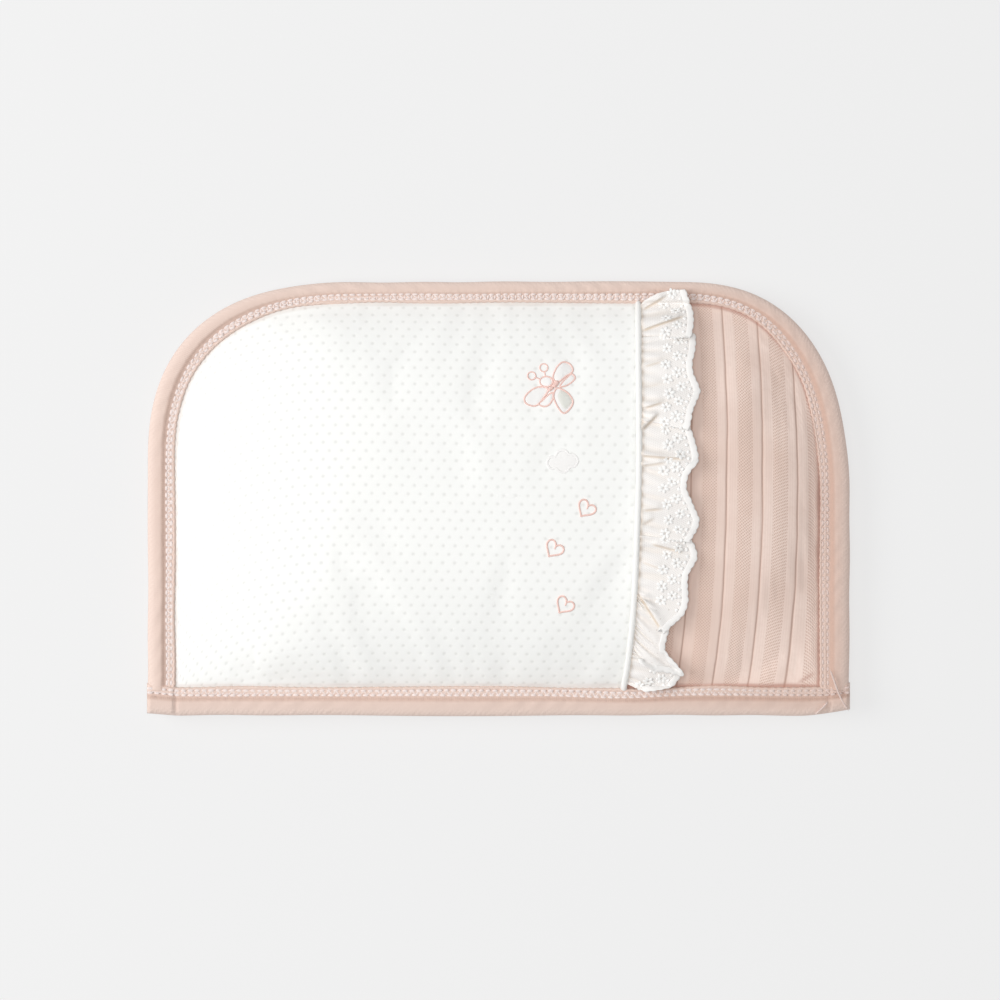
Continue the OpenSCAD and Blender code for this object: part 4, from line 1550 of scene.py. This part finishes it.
@dataclass
class PipedSeam:
    """The cord and its folded cover, standing in the seam between the two front panels."""

    face: Face
    outer_r: float = 1.4
    cord_r: float = 0.95
    lift: float = 1.0
    flat: tuple[float, float] = (0.0155, 0.190)

    def path(self) -> Array:
        """Returns the middle of the piping from the bottom binding to the top one."""
        form = self.face.form
        y = np.linspace(form.low - 2.0, form.half_h - form.top_w + 1.0, 420)
        v = form.share_up(np.full_like(y, form.seam_top_x), y)
        x = form.seam_x(v) + 0.15 * np.sin(y / 13)
        held = np.clip(y, form.low + 0.2, form.dome_y(x, 1.0) - 0.2)
        ends = ease(form.half_h - form.top_w - 1.0, form.half_h - form.top_w + 0.8, y)
        ends = ends + 1 - ease(form.low - 1.8, form.low + 0.2, y)
        z = self.face.height(x, held) + self.lift - 2.2 * ends
        return np.stack([x, y, z], axis=1)

    def build(self) -> list[bpy.types.Object]:
        """Returns the cover and the cord."""
        path = evenly(self.path(), 0.6)
        along = np.gradient(path, axis=0)
        along /= np.linalg.norm(along, axis=1)[:, None]
        side = np.cross(along, [0.0, 0.0, 1.0])
        side /= np.linalg.norm(side, axis=1)[:, None]
        up = np.cross(side, along)
        run = run_lengths(path)
        turn = np.radians(np.linspace(-75, 255, 25))
        uneven = 1 + 0.03 * np.sin(run / 4.3)[:, None] + 0.02 * np.sin(run / 1.9 + 1)[:, None]
        ring_x = np.cos(turn)[None, :] * self.outer_r * uneven
        ring_y = np.sin(turn)[None, :] * self.outer_r * uneven
        flap = np.array([[3.4, -2.2], [1.6, -2.3], [0.5, -2.0]])
        ones = np.ones((len(path), 1))
        sec_x = np.concatenate([ones * flap[:, 0], ring_x, ones * flap[::-1, 0] - 0.1], axis=1)
        sec_y = np.concatenate([ones * flap[:, 1], ring_y, ones * flap[::-1, 1] - 0.25], axis=1)
        points = path[:, None] + side[:, None] * sec_x[..., None] + up[:, None] * sec_y[..., None]
        arc = run_lengths(np.stack([sec_x[0], sec_y[0]], axis=1))
        cloth = np.stack(np.broadcast_arrays(run[:, None], arc[None, :]), axis=-1)
        cover = grid_piece("piping_tube", points, cloth, facing=Facing.UP)
        PIPING.dress(cover)
        enter(cover, ("piping_cover",))
        turn = np.linspace(0, 2 * math.pi, 11)[:-1]
        ring = side[:, None] * np.cos(turn)[None, :, None] + up[:, None] * np.sin(turn)[None, :, None]
        cord = grid_piece("inner_cord", path[:, None] + ring * self.cord_r, ring=True, caps=True, facing=Facing.OUT)
        CORD.dress(cord)
        enter(cord, ("piping_cord",))
        return [cover, cord]


@dataclass(frozen=True)
class Fold:
    """One place along the frill, from its sewn edge to its free edge."""

    sewn_y: float
    free_x: float
    free_y: float
    rise: float
    inner_rise: float = 0.0


@dataclass
class LaceFrill:
    """The gathered lace beside the piping: net, satin border, flowers and dots."""

    face: Face
    lift: float = 0.7
    stations: int = 900
    across: int = 30
    border: float = 0.9
    reach: float = 25.0
    fullness: float = 1.35
    flat: tuple[float, float] = (0.026, 0.262)

    FOLDS = (
        Fold(88.0, 84.2, 95.0, 0.4), Fold(86.5, 85.4, 92.0, 0.3), Fold(84.5, 86.5, 88.5, 0.3),
        Fold(82.0, 87.7, 84.8, 1.2), Fold(79.0, 87.9, 80.5, 2.0), Fold(76.0, 87.4, 76.8, 2.6),
        Fold(74.0, 86.3, 72.6, 2.9), Fold(72.6, 86.2, 74.8, 1.0), Fold(70.6, 88.4, 74.0, 0.3),
        Fold(68.5, 88.7, 70.5, 0.8), Fold(65.0, 88.1, 66.0, 1.8), Fold(61.0, 87.0, 61.5, 2.4),
        Fold(57.0, 87.4, 56.5, 1.8), Fold(53.5, 89.2, 52.5, 0.8), Fold(50.0, 90.5, 48.4, 0.4),
        Fold(46.0, 88.9, 44.2, 1.2), Fold(42.0, 87.0, 39.5, 2.3), Fold(39.0, 86.3, 35.5, 2.9),
        Fold(36.5, 85.2, 31.0, 2.9), Fold(34.5, 85.6, 32.5, 1.0), Fold(31.5, 86.9, 29.5, 0.4),
        Fold(27.5, 88.4, 24.5, 0.6), Fold(23.5, 89.6, 19.0, 1.1), Fold(20.5, 89.0, 15.8, 2.3),
        Fold(18.0, 87.0, 13.8, 2.6), Fold(15.5, 85.0, 10.5, 2.0), Fold(12.0, 84.2, 6.5, 1.4),
        Fold(8.0, 84.5, 3.2, 1.8), Fold(3.5, 86.2, -0.4, 2.2), Fold(-0.5, 88.2, -5.0, 1.1),
        Fold(-4.5, 90.0, -9.5, 0.4), Fold(-8.5, 89.0, -13.8, 1.0), Fold(-12.0, 87.0, -17.0, 2.4),
        Fold(-15.0, 85.6, -19.6, 2.9), Fold(-17.0, 86.3, -18.6, 1.0), Fold(-19.5, 88.2, -22.0, 0.3),
        Fold(-23.0, 89.1, -26.4, 0.8), Fold(-27.0, 87.3, -30.2, 1.9), Fold(-31.0, 85.3, -33.5, 2.5),
        Fold(-34.5, 84.7, -37.5, 2.0), Fold(-38.0, 84.9, -42.0, 1.3), Fold(-41.0, 85.0, -46.5, 1.2),
        Fold(-43.0, 83.4, -51.5, 1.8), Fold(-44.0, 80.6, -54.6, 2.6), Fold(-44.6, 77.6, -57.2, 3.4),
        Fold(-45.0, 74.2, -60.6, 3.9), Fold(-46.0, 75.5, -56.0, 1.4), Fold(-48.0, 77.0, -54.0, 0.3),
        Fold(-50.0, 76.6, -59.0, 0.6), Fold(-52.0, 75.4, -63.5, 1.0), Fold(-54.5, 75.0, -68.5, 2.1),
        Fold(-58.0, 79.5, -74.0, 2.8), Fold(-61.0, 83.6, -79.6, 3.2), Fold(-63.0, 77.5, -78.4, 3.6),
        Fold(-65.0, 70.5, -77.2, 3.9), Fold(-66.5, 64.6, -74.5, 3.8), Fold(-66.9, 65.2, -74.0, 0.3),
        Fold(-68.5, 68.5, -73.0, 0.0), Fold(-71.0, 76.0, -75.6, 0.0), Fold(-73.0, 81.8, -79.4, 0.1),
        Fold(-76.0, 80.4, -83.0, 0.7),
        Fold(-79.5, 77.2, -85.8, 1.6), Fold(-82.0, 70.5, -86.9, 2.0), Fold(-84.0, 65.5, -87.2, 1.6),
    )
    CREASES = (
        ((65.5, 77.0), (83.5, 83.4), 1.5), ((65.6, 86.6), (75.5, 92.5), 1.0), ((66.0, 60.4), (74.0, 62.8), 0.7),
        ((66.0, 41.5), (74.0, 44.2), 1.0), ((64.4, 31.4), (71.4, 38.6), 1.5), ((64.6, 20.0), (83.0, 18.6), 1.0),
        ((64.4, 15.4), (75.0, 16.8), 0.8), ((65.4, -4.6), (73.6, -4.0), 0.9), ((64.8, -11.2), (69.5, -8.4), 0.8),
        ((70.0, -20.0), (83.0, -23.6), 0.9), ((65.4, -28.0), (73.5, -31.0), 0.6), ((64.8, 51.0), (73.0, 52.5), 0.5),
        ((64.4, -43.6), (73.8, -58.6), 1.3),
    )
    PLAIN = (-68.5, -43.0)

    def sheet(self) -> tuple[Array, Array, Array, Array]:
        """Shapes the net.

        Returns:
            Points, cloth coordinates, the painted shade of folds, creases and gathers at each point, and the length
            along the free edge.
        """
        form = self.face.form
        rows = np.array([(f.sewn_y, f.free_x, f.free_y, f.rise, f.inner_rise) for f in self.FOLDS])
        line = through(rows, self.stations)
        sewn_y, free_x, free_y, rise = (line[:, k][:, None] for k in range(4))
        w = np.linspace(0, 1, self.across)[None, :]
        v = form.share_up(np.full_like(sewn_y, form.seam_top_x), sewn_y)
        sewn_x = form.seam_x(v) + 0.9
        x = sewn_x + (free_x - sewn_x) * w
        bow = 0.33 * np.sin(math.pi * w) * np.sin(sewn_y / 5.3)
        bow = bow + 2.2 * np.sin(math.pi * w**0.8) * ease(84.0, 88.0, sewn_y)
        y = sewn_y + (free_y - sewn_y) * w**0.85 + bow
        run = run_lengths(np.concatenate([free_x, free_y, rise * 2], axis=1))[:, None]
        gathers = np.sin(run / 1.05 + 1.2 * np.sin(run / 6.1)) * bell(w - 0.12, 0.3) * 0.5
        gathers = gathers + 0.35 * np.sin(run / 2.3 + 0.8 * np.sin(run / 9.0)) * bell(w - 0.4, 0.35)
        crown = 1.5 * np.sin(math.pi / 2 * np.clip(w / 0.55, 0, 1))
        z = gathers + crown + np.maximum(rise * self.fullness, 0.1) * w**1.3
        # Painted shade for the fold mark: darker in the troughs of the gathers and in the gap beside the piping.
        depth = 0.22 * np.clip(-gathers * 2, 0, 1) + 0.55 * bell(w - 0.02, 0.04)
        for (x0, y0), (x1, y1), size in self.CREASES:
            length = math.hypot(x1 - x0, y1 - y0)
            ax, ay = (x1 - x0) / length, (y1 - y0) / length
            t = (x - x0) * ax + (y - y0) * ay
            off = -(x - x0) * ay + (y - y0) * ax
            here = ease(-1.5, 1.5, t) * (1 - ease(length - 3, length + 2, t))
            crest = np.where(off > 0, bell(off, 2.6), bell(off, 0.55))
            z = z + here * size * 1.25 * crest
            # Painted shadow below the crease's edge.
            depth = np.maximum(depth, here * bell(off + 0.8, 0.62) * min(0.9, 0.8 * size))
        safe_y = np.clip(y, form.low + 0.3, form.dome_y(x, 1.0) - 0.3)
        ground = self.face.height(x, safe_y)
        over = ease(0.0, 1.5, y - safe_y) * 2.6 + ease(0.0, 1.5, safe_y - y) * 1.0
        z = z + ground + self.lift + over + 0.6 * bell(w, 0.06)
        points = np.stack([x, y, z], axis=-1)
        cloth = np.stack(np.broadcast_arrays(run, w * self.reach), axis=-1)
        return points, cloth, depth, run[:, 0]

    def normals(self, points: Array) -> Array:
        """Returns the way up from the net at each point."""
        way = np.cross(np.gradient(points, axis=1), np.gradient(points, axis=0))
        way /= np.maximum(np.linalg.norm(way, axis=-1), 1e-9)[..., None]
        return np.where(way[..., 2:] < 0, -way, way)

    def read(self, grid: Array, run: Array, s: Array, w: Array) -> Array:
        """Reads a grid of the net at lengths along and shares across.

        Args:
            grid: Values at the net's points.
            run: Length along the free edge at each station.
            s: Lengths to read at.
            w: Shares across to read at.

        Returns:
            The values there.
        """
        i = np.interp(s, run, np.arange(len(run)))
        j = w * (grid.shape[1] - 1)
        a = np.minimum(i.astype(int), grid.shape[0] - 2)
        b = np.minimum(j.astype(int), grid.shape[1] - 2)
        fi, fj = (i - a)[:, None], (j - b)[:, None]
        near = grid[a, b] * (1 - fj) + grid[a, b + 1] * fj
        far = grid[a + 1, b] * (1 - fj) + grid[a + 1, b + 1] * fj
        return near * (1 - fi) + far * fi

    def set_on(self, points: Array, ups: Array, run: Array, s: Array, w: Array, lift: float) -> bpy.types.Object:
        """Makes the points that shapes are set on.

        Args:
            points: The net's points.
            ups: The way up at each of them.
            run: Length along the free edge at each station.
            s: Lengths of the shapes along it.
            w: Shares across of the shapes.
            lift: Height of the shapes over the net.

        Returns:
            The points, with the ways up and along.
        """
        sewn = self.read(points, run, s, 0 * w)[:, 1]
        worked = (sewn < self.PLAIN[0]) | (sewn > self.PLAIN[1])
        s, w = s[worked], w[worked]
        spots = self.read(points, run, s, w)
        up = self.read(ups, run, s, w)
        ahead = self.read(points, run, np.minimum(s + 0.5, run[-1]), w)
        behind = self.read(points, run, np.maximum(s - 0.5, 0), w)
        return points_piece("spots", spots + up * lift, {"up": up, "along": ahead - behind}, False)

    def build(self) -> list[bpy.types.Object]:
        """Returns the net, the satin border, and the flowers and dots."""
        points, cloth, depth, run = self.sheet()
        LOG.info("frill's free edge is %.0f mm long", run[-1])
        net = grid_piece("lace_net", points, cloth, marks={"fold": depth})
        NET.dress(net)
        enter(net, ("lace_frill",))
        ups = self.normals(points)
        edge = self.satin_border(points, ups, run)
        half = NET.flower_pitch / 2
        (first, outer), (_, inner) = NET.eyelets
        s = np.arange(first, run[-1] - 1, half)
        zig = np.where(np.arange(len(s)) % 2 == 0, outer, inner) / self.reach
        spots = self.set_on(points, ups, run, s, zig, 0.12)
        flowers = ShapeSetter(SetShape.FLOWER, (5.2, 5.2, 0.32), seed=2).run("flowers", spots, LACE_SATIN)
        s = np.arange(0.8, run[-1] - 0.5, 3.4)
        spots = self.set_on(points, ups, run, s, np.full(len(s), 0.85), 0.12)
        dots = ShapeSetter(SetShape.BLOB, (1.9, 1.6, 0.5), seed=4).run("dots", spots, LACE_SATIN)
        bloom = merged("lace_flowers", [flowers, dots])
        enter(bloom, ("frill_flowers",))
        return [net, edge, bloom]

    def satin_border(self, points: Array, ups: Array, run: Array) -> bpy.types.Object:
        """Makes the satin border with its small scallops.

        Args:
            points: The net's points.
            ups: The way up at each of them.
            run: Length along the free edge at each station.

        Returns:
            The border, wrapped round the net's free edge.
        """
        first = round(self.border * (self.across - 1))
        s = np.arange(0, run[-1], 0.42)
        rim = self.read(points, run, s, np.ones(len(s)))
        root = self.read(points, run, s, np.full(len(s), first / (self.across - 1)))
        up = self.read(ups, run, s, np.full(len(s), 0.97))
        out = rim - root
        out /= np.maximum(np.linalg.norm(out, axis=1), 1e-9)[:, None]
        ahead = np.gradient(rim, axis=0)
        ahead /= np.maximum(np.linalg.norm(ahead, axis=1), 1e-9)[:, None]
        out = out - ahead * (out * ahead).sum(axis=1)[:, None] * 0.9
        out /= np.maximum(np.linalg.norm(out, axis=1), 1e-9)[:, None]
        scallop = 0.45 * np.abs(np.sin(math.pi * s / 3.4)) - 0.2
        width = 2.9 + scallop
        turn = np.linspace(0, 2 * math.pi, 11)[:-1]
        flat_x = np.cos(turn)[None, :] * width[:, None] / 2 + scallop[:, None] / 2
        flat_z = np.sin(turn)[None, :] * 0.3
        middle = rim - out * 0.9 + up * 0.22
        ring = middle[:, None] + out[:, None] * flat_x[..., None] + up[:, None] * flat_z[..., None]
        around = np.linspace(0, 5.2, 11)
        cloth = np.stack(np.broadcast_arrays(s[:, None], around[None, :]), axis=-1)
        piece = grid_piece("scallop_border", ring, cloth, ring=True, caps=True, facing=Facing.OUT)
        LACE_SATIN.dress(piece)
        enter(piece, ("frill_scallop_edge",))
        return piece


# ---------- Embroidery ----------


@dataclass
class Embroidery:
    """The insect, the cloud and the hearts, worked in satin stitch on the dotted panel."""

    face: Face
    line_w: float = 0.8
    line_h: float = 0.35

    @property
    def root(self) -> Array:
        """Returns the place where the insect's wings meet."""
        return np.array([self.face.form.seam_top_x - 37.9, 51.5])

    def closed(self, stops: list[tuple[float, float]], around: Array, step: float = 0.25) -> Array:
        """Runs a closed smooth path through points given from a place.

        Args:
            stops: The points to pass through.
            around: The place that they are given from.
            step: Distance between samples.

        Returns:
            The path, without its first point repeated.
        """
        ring = np.array(stops * 3, dtype=float)
        many = len(stops)
        line = through(ring, 3 * many * 24)
        third = line[many * 24 : 2 * many * 24 + 1]
        return evenly(third, step)[:-1] + around

    def line(self, name: str, path: Array, loop: bool, wide: float, tall: float, lift: float = 0.0) -> bpy.types.Object:
        """Lays a padded satin line on the face.

        Args:
            name: Name of the piece.
            path: Places across and up.
            loop: Joins its end to its start.
            wide: Width of the line.
            tall: Height of the line.
            lift: Height of its foot over the face.

        Returns:
            The line.
        """
        ahead = np.roll(path, -1, axis=0)
        behind = np.roll(path, 1, axis=0)
        if not loop:
            ahead[-1], behind[0] = path[-1], path[0]
        along = ahead - behind
        along /= np.maximum(np.linalg.norm(along, axis=1), 1e-9)[:, None]
        side = np.stack([-along[:, 1], along[:, 0]], axis=1)
        turn = np.linspace(0, 2 * math.pi, 11)[:-1]
        taper = np.ones(len(path))
        if not loop:
            t = np.linspace(0, 1, len(path))
            taper = np.clip(np.minimum(t, 1 - t) * 6, 0.15, 1) ** 0.5
        flat = path[:, None] + side[:, None] * (np.cos(turn)[None, :] * taper[:, None] * wide / 2)[..., None]
        z = self.face.height(path[:, 0], path[:, 1])[:, None] + lift + 0.05
        z = z + np.sin(turn)[None, :] * taper[:, None] * tall
        slope = self.face.height(flat[..., 0], flat[..., 1]) - self.face.height(path[:, 0], path[:, 1])[:, None]
        ring = np.concatenate([flat, (z + slope)[..., None]], axis=-1)
        run = run_lengths(np.vstack([path, path[:1]]) if loop else path)
        cloth = np.stack(np.broadcast_arrays(run[:, None], np.linspace(0, 3, 11)[None, :]), axis=-1)
        return grid_piece(name, ring, cloth, ring=True, loop=loop, caps=not loop, facing=Facing.OUT)

    def patch(self, name: str, rim: Array, tall: float, slant: float, share: float = 0.97) -> bpy.types.Object:
        """Fills an outline with a padded satin patch.

        Args:
            name: Name of the piece.
            rim: The outline.
            tall: Height of the patch in its middle.
            slant: Direction of the threads in radians.
            share: Size of the patch beside its outline.

        Returns:
            The patch.
        """
        middle = rim.mean(axis=0)
        rings = []
        for r in (0.0, 0.25, 0.5, 0.7, 0.85, 0.95, 1.0):
            flat = middle + (rim - middle) * r * share
            z = self.face.height(flat[:, 0], flat[:, 1]) + tall * (1 - r**4) - 0.12 * (r == 1.0)
            rings.append(np.concatenate([flat, z[:, None]], axis=1))
        grid = np.stack(rings, axis=1)
        plan = grid[..., :2] - middle
        turned = np.stack(
            [
                plan[..., 0] * math.cos(slant) + plan[..., 1] * math.sin(slant),
                plan[..., 1] * math.cos(slant) - plan[..., 0] * math.sin(slant),
            ],
            axis=-1,
        )
        cloth = np.concatenate([turned, turned[:1]], axis=0)
        return grid_piece(name, grid, cloth, loop=True)

    def insect(self) -> None:
        """Works the insect: wings, their outlines, head, antennae and knots."""
        root = self.root
        wings = {
            "upper": [(-0.9, 3.2), (0.2, 6.8), (1.9, 9.2), (4.0, 10.3), (6.4, 9.6), (7.8, 7.8), (7.7, 5.7), (4.7, 3.7),
                      (0.9, 0.9)],
            "crescent": [(7.6, 4.9), (9.0, 3.2), (7.6, 1.2), (5.0, -0.4), (2.3, -0.9), (3.6, 1.4), (5.9, 3.6)],
            "left": [(-4.3, -1.2), (-8.2, -1.2), (-11.7, -3.3), (-13.8, -6.1), (-13.1, -8.5), (-9.9, -9.7),
                     (-7.6, -8.9), (-5.4, -6.1), (-3.1, -2.6)],
            "middle": [(-7.4, -8.8), (-5.0, -9.9), (-2.6, -8.9), (-1.0, -6.1), (-1.2, -3.7), (-3.4, -5.0),
                       (-5.6, -7.2)],
        }
        grey = [(-0.7, -4.7), (0.2, -8.2), (2.3, -11.7), (4.2, -12.9), (6.4, -11.3), (8.0, -8.2), (7.1, -5.4),
                (4.7, -3.0), (0.9, -1.6)]
        rims = {name: self.closed(stops, root) for name, stops in wings.items()}
        fills = [self.patch(f"fill {name}", rim, 0.45, 0.7) for name, rim in rims.items()]
        grey_rim = self.closed(grey, root)
        fills.append(self.patch("fill margin", grey_rim, 0.25, 0.7))
        head = self.oval(np.array([-4.0, 1.4]) + root, 2.9, 2.3)
        fills.append(self.patch("fill head", head, 0.5, 0.2))
        white = merged("white_wings", fills)
        WHITE_SATIN.dress(white)
        enter(white, ("insect_wings",))
        inset = grey_rim + np.array([0.55, 0.35])
        fill = self.patch("grey_wing", inset, 0.5, 2.2, share=0.8)
        GREY_SATIN.dress(fill)
        enter(fill, ("insect_grey_wing",))
        lines = [self.line(f"rim {name}", rim, True, self.line_w, self.line_h) for name, rim in rims.items()]
        lines.append(self.line("rim grey", grey_rim, True, self.line_w, self.line_h))
        self.enter_salmon("wing_outlines", lines, "insect_outline")
        self.enter_salmon("head_outline", [self.line("rim head", head, True, 0.75, 0.35)], "insect_head")
        feelers = []
        for tip in (np.array([-10.6, 4.0]), np.array([-5.1, 7.7])):
            feelers.append(self.line("ring", self.oval(root + tip, 1.8, 1.8), True, 0.65, 0.3))
            base = np.array([-4.0, 1.4])
            way = (tip - base) / np.linalg.norm(tip - base)
            ends = np.stack([root + base + way * 2.6, root + tip - way * 1.9])
            feelers.append(self.line("stem", evenly(ends, 0.3), False, 0.6, 0.3))
        self.enter_salmon("feelers", feelers, "insect_antennae")
        knots = []
        for place, turn, long, wide in (((0.2, 0.3), 0.9, 3.6, 2.1), ((-2.0, -1.8), 0.7, 2.9, 1.6)):
            way = np.array([math.cos(turn), math.sin(turn)]) * long / 2
            ends = np.stack([root + place - way, root + place + way])
            knots.append(self.line("knot", evenly(ends, 0.25), False, wide, 0.75, lift=0.25))
        self.enter_salmon("body_knots", knots, "insect_body_knot")

    def enter_salmon(self, name: str, lines: list[bpy.types.Object], node: str) -> None:
        """Joins salmon lines, dresses them and enters them for a CAD node."""
        piece = merged(name, lines) if len(lines) > 1 else lines[0]
        piece.name = name
        SALMON_SATIN.dress(piece)
        enter(piece, (node,))

    def oval(self, centre: Array, rx: float, ry: float) -> Array:
        """Returns an oval path about a centre."""
        turn = np.linspace(0, 2 * math.pi, 60)[:-1]
        return centre + np.stack([rx * np.cos(turn), ry * np.sin(turn)], axis=1)

    def cloud(self) -> None:
        """Works the white cloud: an outline of bumps with light filling stitches."""
        centre = np.array([self.face.form.seam_top_x - 34.6, 16.7])
        stops = [(-6.9, -0.6), (-5.6, 2.0), (-3.4, 2.2), (-2.0, 4.4), (0.9, 5.2), (3.1, 3.3), (5.4, 2.9), (6.9, 0.5),
                 (5.7, -2.1), (3.3, -2.6), (1.6, -4.6), (-1.3, -4.5), (-3.1, -2.9), (-5.4, -3.1)]
        rim = self.closed(stops, centre)
        parts = [self.line("cloud rim", rim, True, 1.1, 0.14), self.patch("cloud fill", rim, 0.15, 0.5)]
        piece = merged("cloud", parts)
        WHITE_SATIN.dress(piece)
        enter(piece, ("cloud_embroidery",))

    def hearts(self) -> None:
        """Works the three hearts in outline."""
        x = self.face.form.seam_top_x
        centres = ((x - 23.9, -4.5), (x - 38.4, -22.6), (x - 33.6, -48.1))
        lines = []
        for centre in centres:
            turn = np.linspace(0, 2 * math.pi, 120)[:-1]
            wide = 0.5 * 8.2 * np.abs(np.sin(turn)) ** 2.6 * np.sign(np.sin(turn))
            tall = 8.2 * (13 * np.cos(turn) - 5 * np.cos(2 * turn) - 2 * np.cos(3 * turn) - np.cos(4 * turn)) / 32
            lean = math.radians(55 - 90)
            path = np.stack([wide * math.cos(lean) - tall * math.sin(lean),
                             wide * math.sin(lean) + tall * math.cos(lean)], axis=1)
            path = np.vstack([path, path[:1]])
            lines.append(self.line("heart", evenly(path, 0.3)[:-1] + np.array(centre), True, 0.85, 0.35))
            into = np.array([[-math.sin(lean), math.cos(lean)]])
            notch = np.array(centre) + into * np.linspace(2.0, -0.4, 9)[:, None]
            notch[:, 0] += 0.5 * np.linspace(0, 1, 9) ** 2
            lines.append(self.line("heart notch", notch, False, 0.7, 0.3))
        self.enter_salmon("hearts", lines, "heart_outlines")

    def build(self) -> None:
        """Works all of the embroidery."""
        self.insect()
        self.cloud()
        self.hearts()


@dataclass
class ThreadTails:
    """The two loose thread ends over the folded right end of the bottom binding."""

    form: PillowForm
    rest_z: float = 16.7
    thick: float = 0.9

    def build(self) -> bpy.types.Object:
        """Returns the two tails."""
        corner = np.array([self.form.half_w, -self.form.half_h])
        ways = (
            ((-9.4, 21.4), (-8.0, 17.5), (-6.0, 12.0), (-4.6, 8.6), (-2.6, 5.2), (-0.9, 2.7)),
            ((-10.4, 6.8), (-11.6, 5.2), (-13.2, 3.6), (-14.8, 2.1), (-15.9, 1.0)),
        )
        parts = []
        for way in ways:
            flat = evenly(through(np.array(way), 80) + corner, 0.4)
            t = np.linspace(0, 1, len(flat))
            height = self.rest_z + 0.35 * np.sin(t * 5) - 1.2 * t**3
            path = np.concatenate([flat, height[:, None]], axis=1)
            along = np.gradient(path, axis=0)
            along /= np.linalg.norm(along, axis=1)[:, None]
            side = np.cross(along, [0.0, 0.0, 1.0])
            up = np.cross(side, along)
            turn = np.linspace(0, 2 * math.pi, 9)[:-1]
            ring = side[:, None] * np.cos(turn)[None, :, None] + up[:, None] * np.sin(turn)[None, :, None]
            thin = self.thick / 2 * np.clip(np.minimum(t, 1 - t) * 12, 0.25, 1)
            parts.append(grid_piece("tail", path[:, None] + ring * thin[:, None, None], ring=True, caps=True,
                                    facing=Facing.OUT))
        piece = merged("loose_threads", parts)
        SEAM_THREAD.dress(piece)
        enter(piece, ("thread_tails",))
        return piece


# ---------- Studio ----------


@dataclass(frozen=True)
class Studio:
    """Floor, light and camera."""

    seen: float = 0.4552
    lens: float = 200.0
    aim: tuple[float, float, float] = (0.0007, -0.0006, 0.0113)
    dome: float = 0.42
    key_watts: float = 19.0
    top_watts: float = 26.0
    top_height: float = 3.3
    key_place: tuple[float, float, float] = (-1.35, 0.15, 1.25)
    floor_grey: float = 0.2
    floor_glow: float = 0.76

    def build(self) -> None:
        """Makes the floor, the light and the camera straight above the pillow."""
        scene = bpy.context.scene
        scene.view_settings.view_transform = "Standard"
        data = bpy.data.cameras.new("camera")
        data.lens = self.lens
        data.sensor_width = 36.0
        data.clip_end = 50.0
        camera = bpy.data.objects.new("camera", data)
        camera.location = (self.aim[0], self.aim[1], self.aim[2] + self.seen * self.lens / 36.0)
        scene.collection.objects.link(camera)
        scene.camera = camera
        mesh = bpy.data.meshes.new("floor")
        half = 12.0
        corners = [(-half, -half, 0), (half, -half, 0), (half, half, 0), (-half, half, 0)]
        mesh.from_pydata(corners, [], [(0, 1, 2, 3)])
        floor = bpy.data.objects.new("floor", mesh)
        scene.collection.objects.link(floor)
        Backdrop("pale floor", (self.floor_grey,) * 3, glow=self.floor_glow).dress(floor)
        world = bpy.data.worlds.new("studio")
        world.use_nodes = True
        back = world.node_tree.nodes["Background"]
        back.inputs["Color"].default_value = (1.0, 1.0, 1.0, 1.0)
        back.inputs["Strength"].default_value = self.dome
        scene.world = world
        self.softbox("side softbox", self.key_place, self.key_watts)
        self.softbox("top softbox", (-0.3, 0.0, self.top_height), self.top_watts)

    def softbox(self, name: str, place: tuple[float, float, float], watts: float) -> None:
        """Adds a round soft light.

        Args:
            name: Name of the light.
            place: Where it stands, turned towards the pillow.
            watts: Its power.
        """
        light = bpy.data.lights.new(name, "AREA")
        light.shape = "DISK"
        light.size = 1.3
        light.energy = watts
        lamp = bpy.data.objects.new(name, light)
        lamp.location = place
        lamp.rotation_euler = (-Vector(place)).to_track_quat("-Z", "Y").to_euler()
        bpy.context.scene.collection.objects.link(lamp)


def main() -> None:
    logging.basicConfig(level=logging.INFO, format="%(message)s")
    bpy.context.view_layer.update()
    Studio().build()
    form = PillowForm.from_frame()
    relief = StuffedPad(form).build()
    face = Face(form, relief)
    DottedPanel(face).build()
    RibbedPanel(face).build()
    BackPanel(face).build()
    side = SideBinding(form)
    side.build()
    bottom = BottomBinding(form, puff=4.0, phase=2.0)
    bottom.build()
    Coverstitch(side, "side_stitches", "side_binding_stitches", end=3.0).build()
    Coverstitch(bottom, "bottom_stitches", "bottom_binding_stitches").build()
    PipedSeam(face).build()
    LaceFrill(face).build()
    Embroidery(face).build()
    ThreadTails(form).build()


if __name__ == "__main__":
    main()
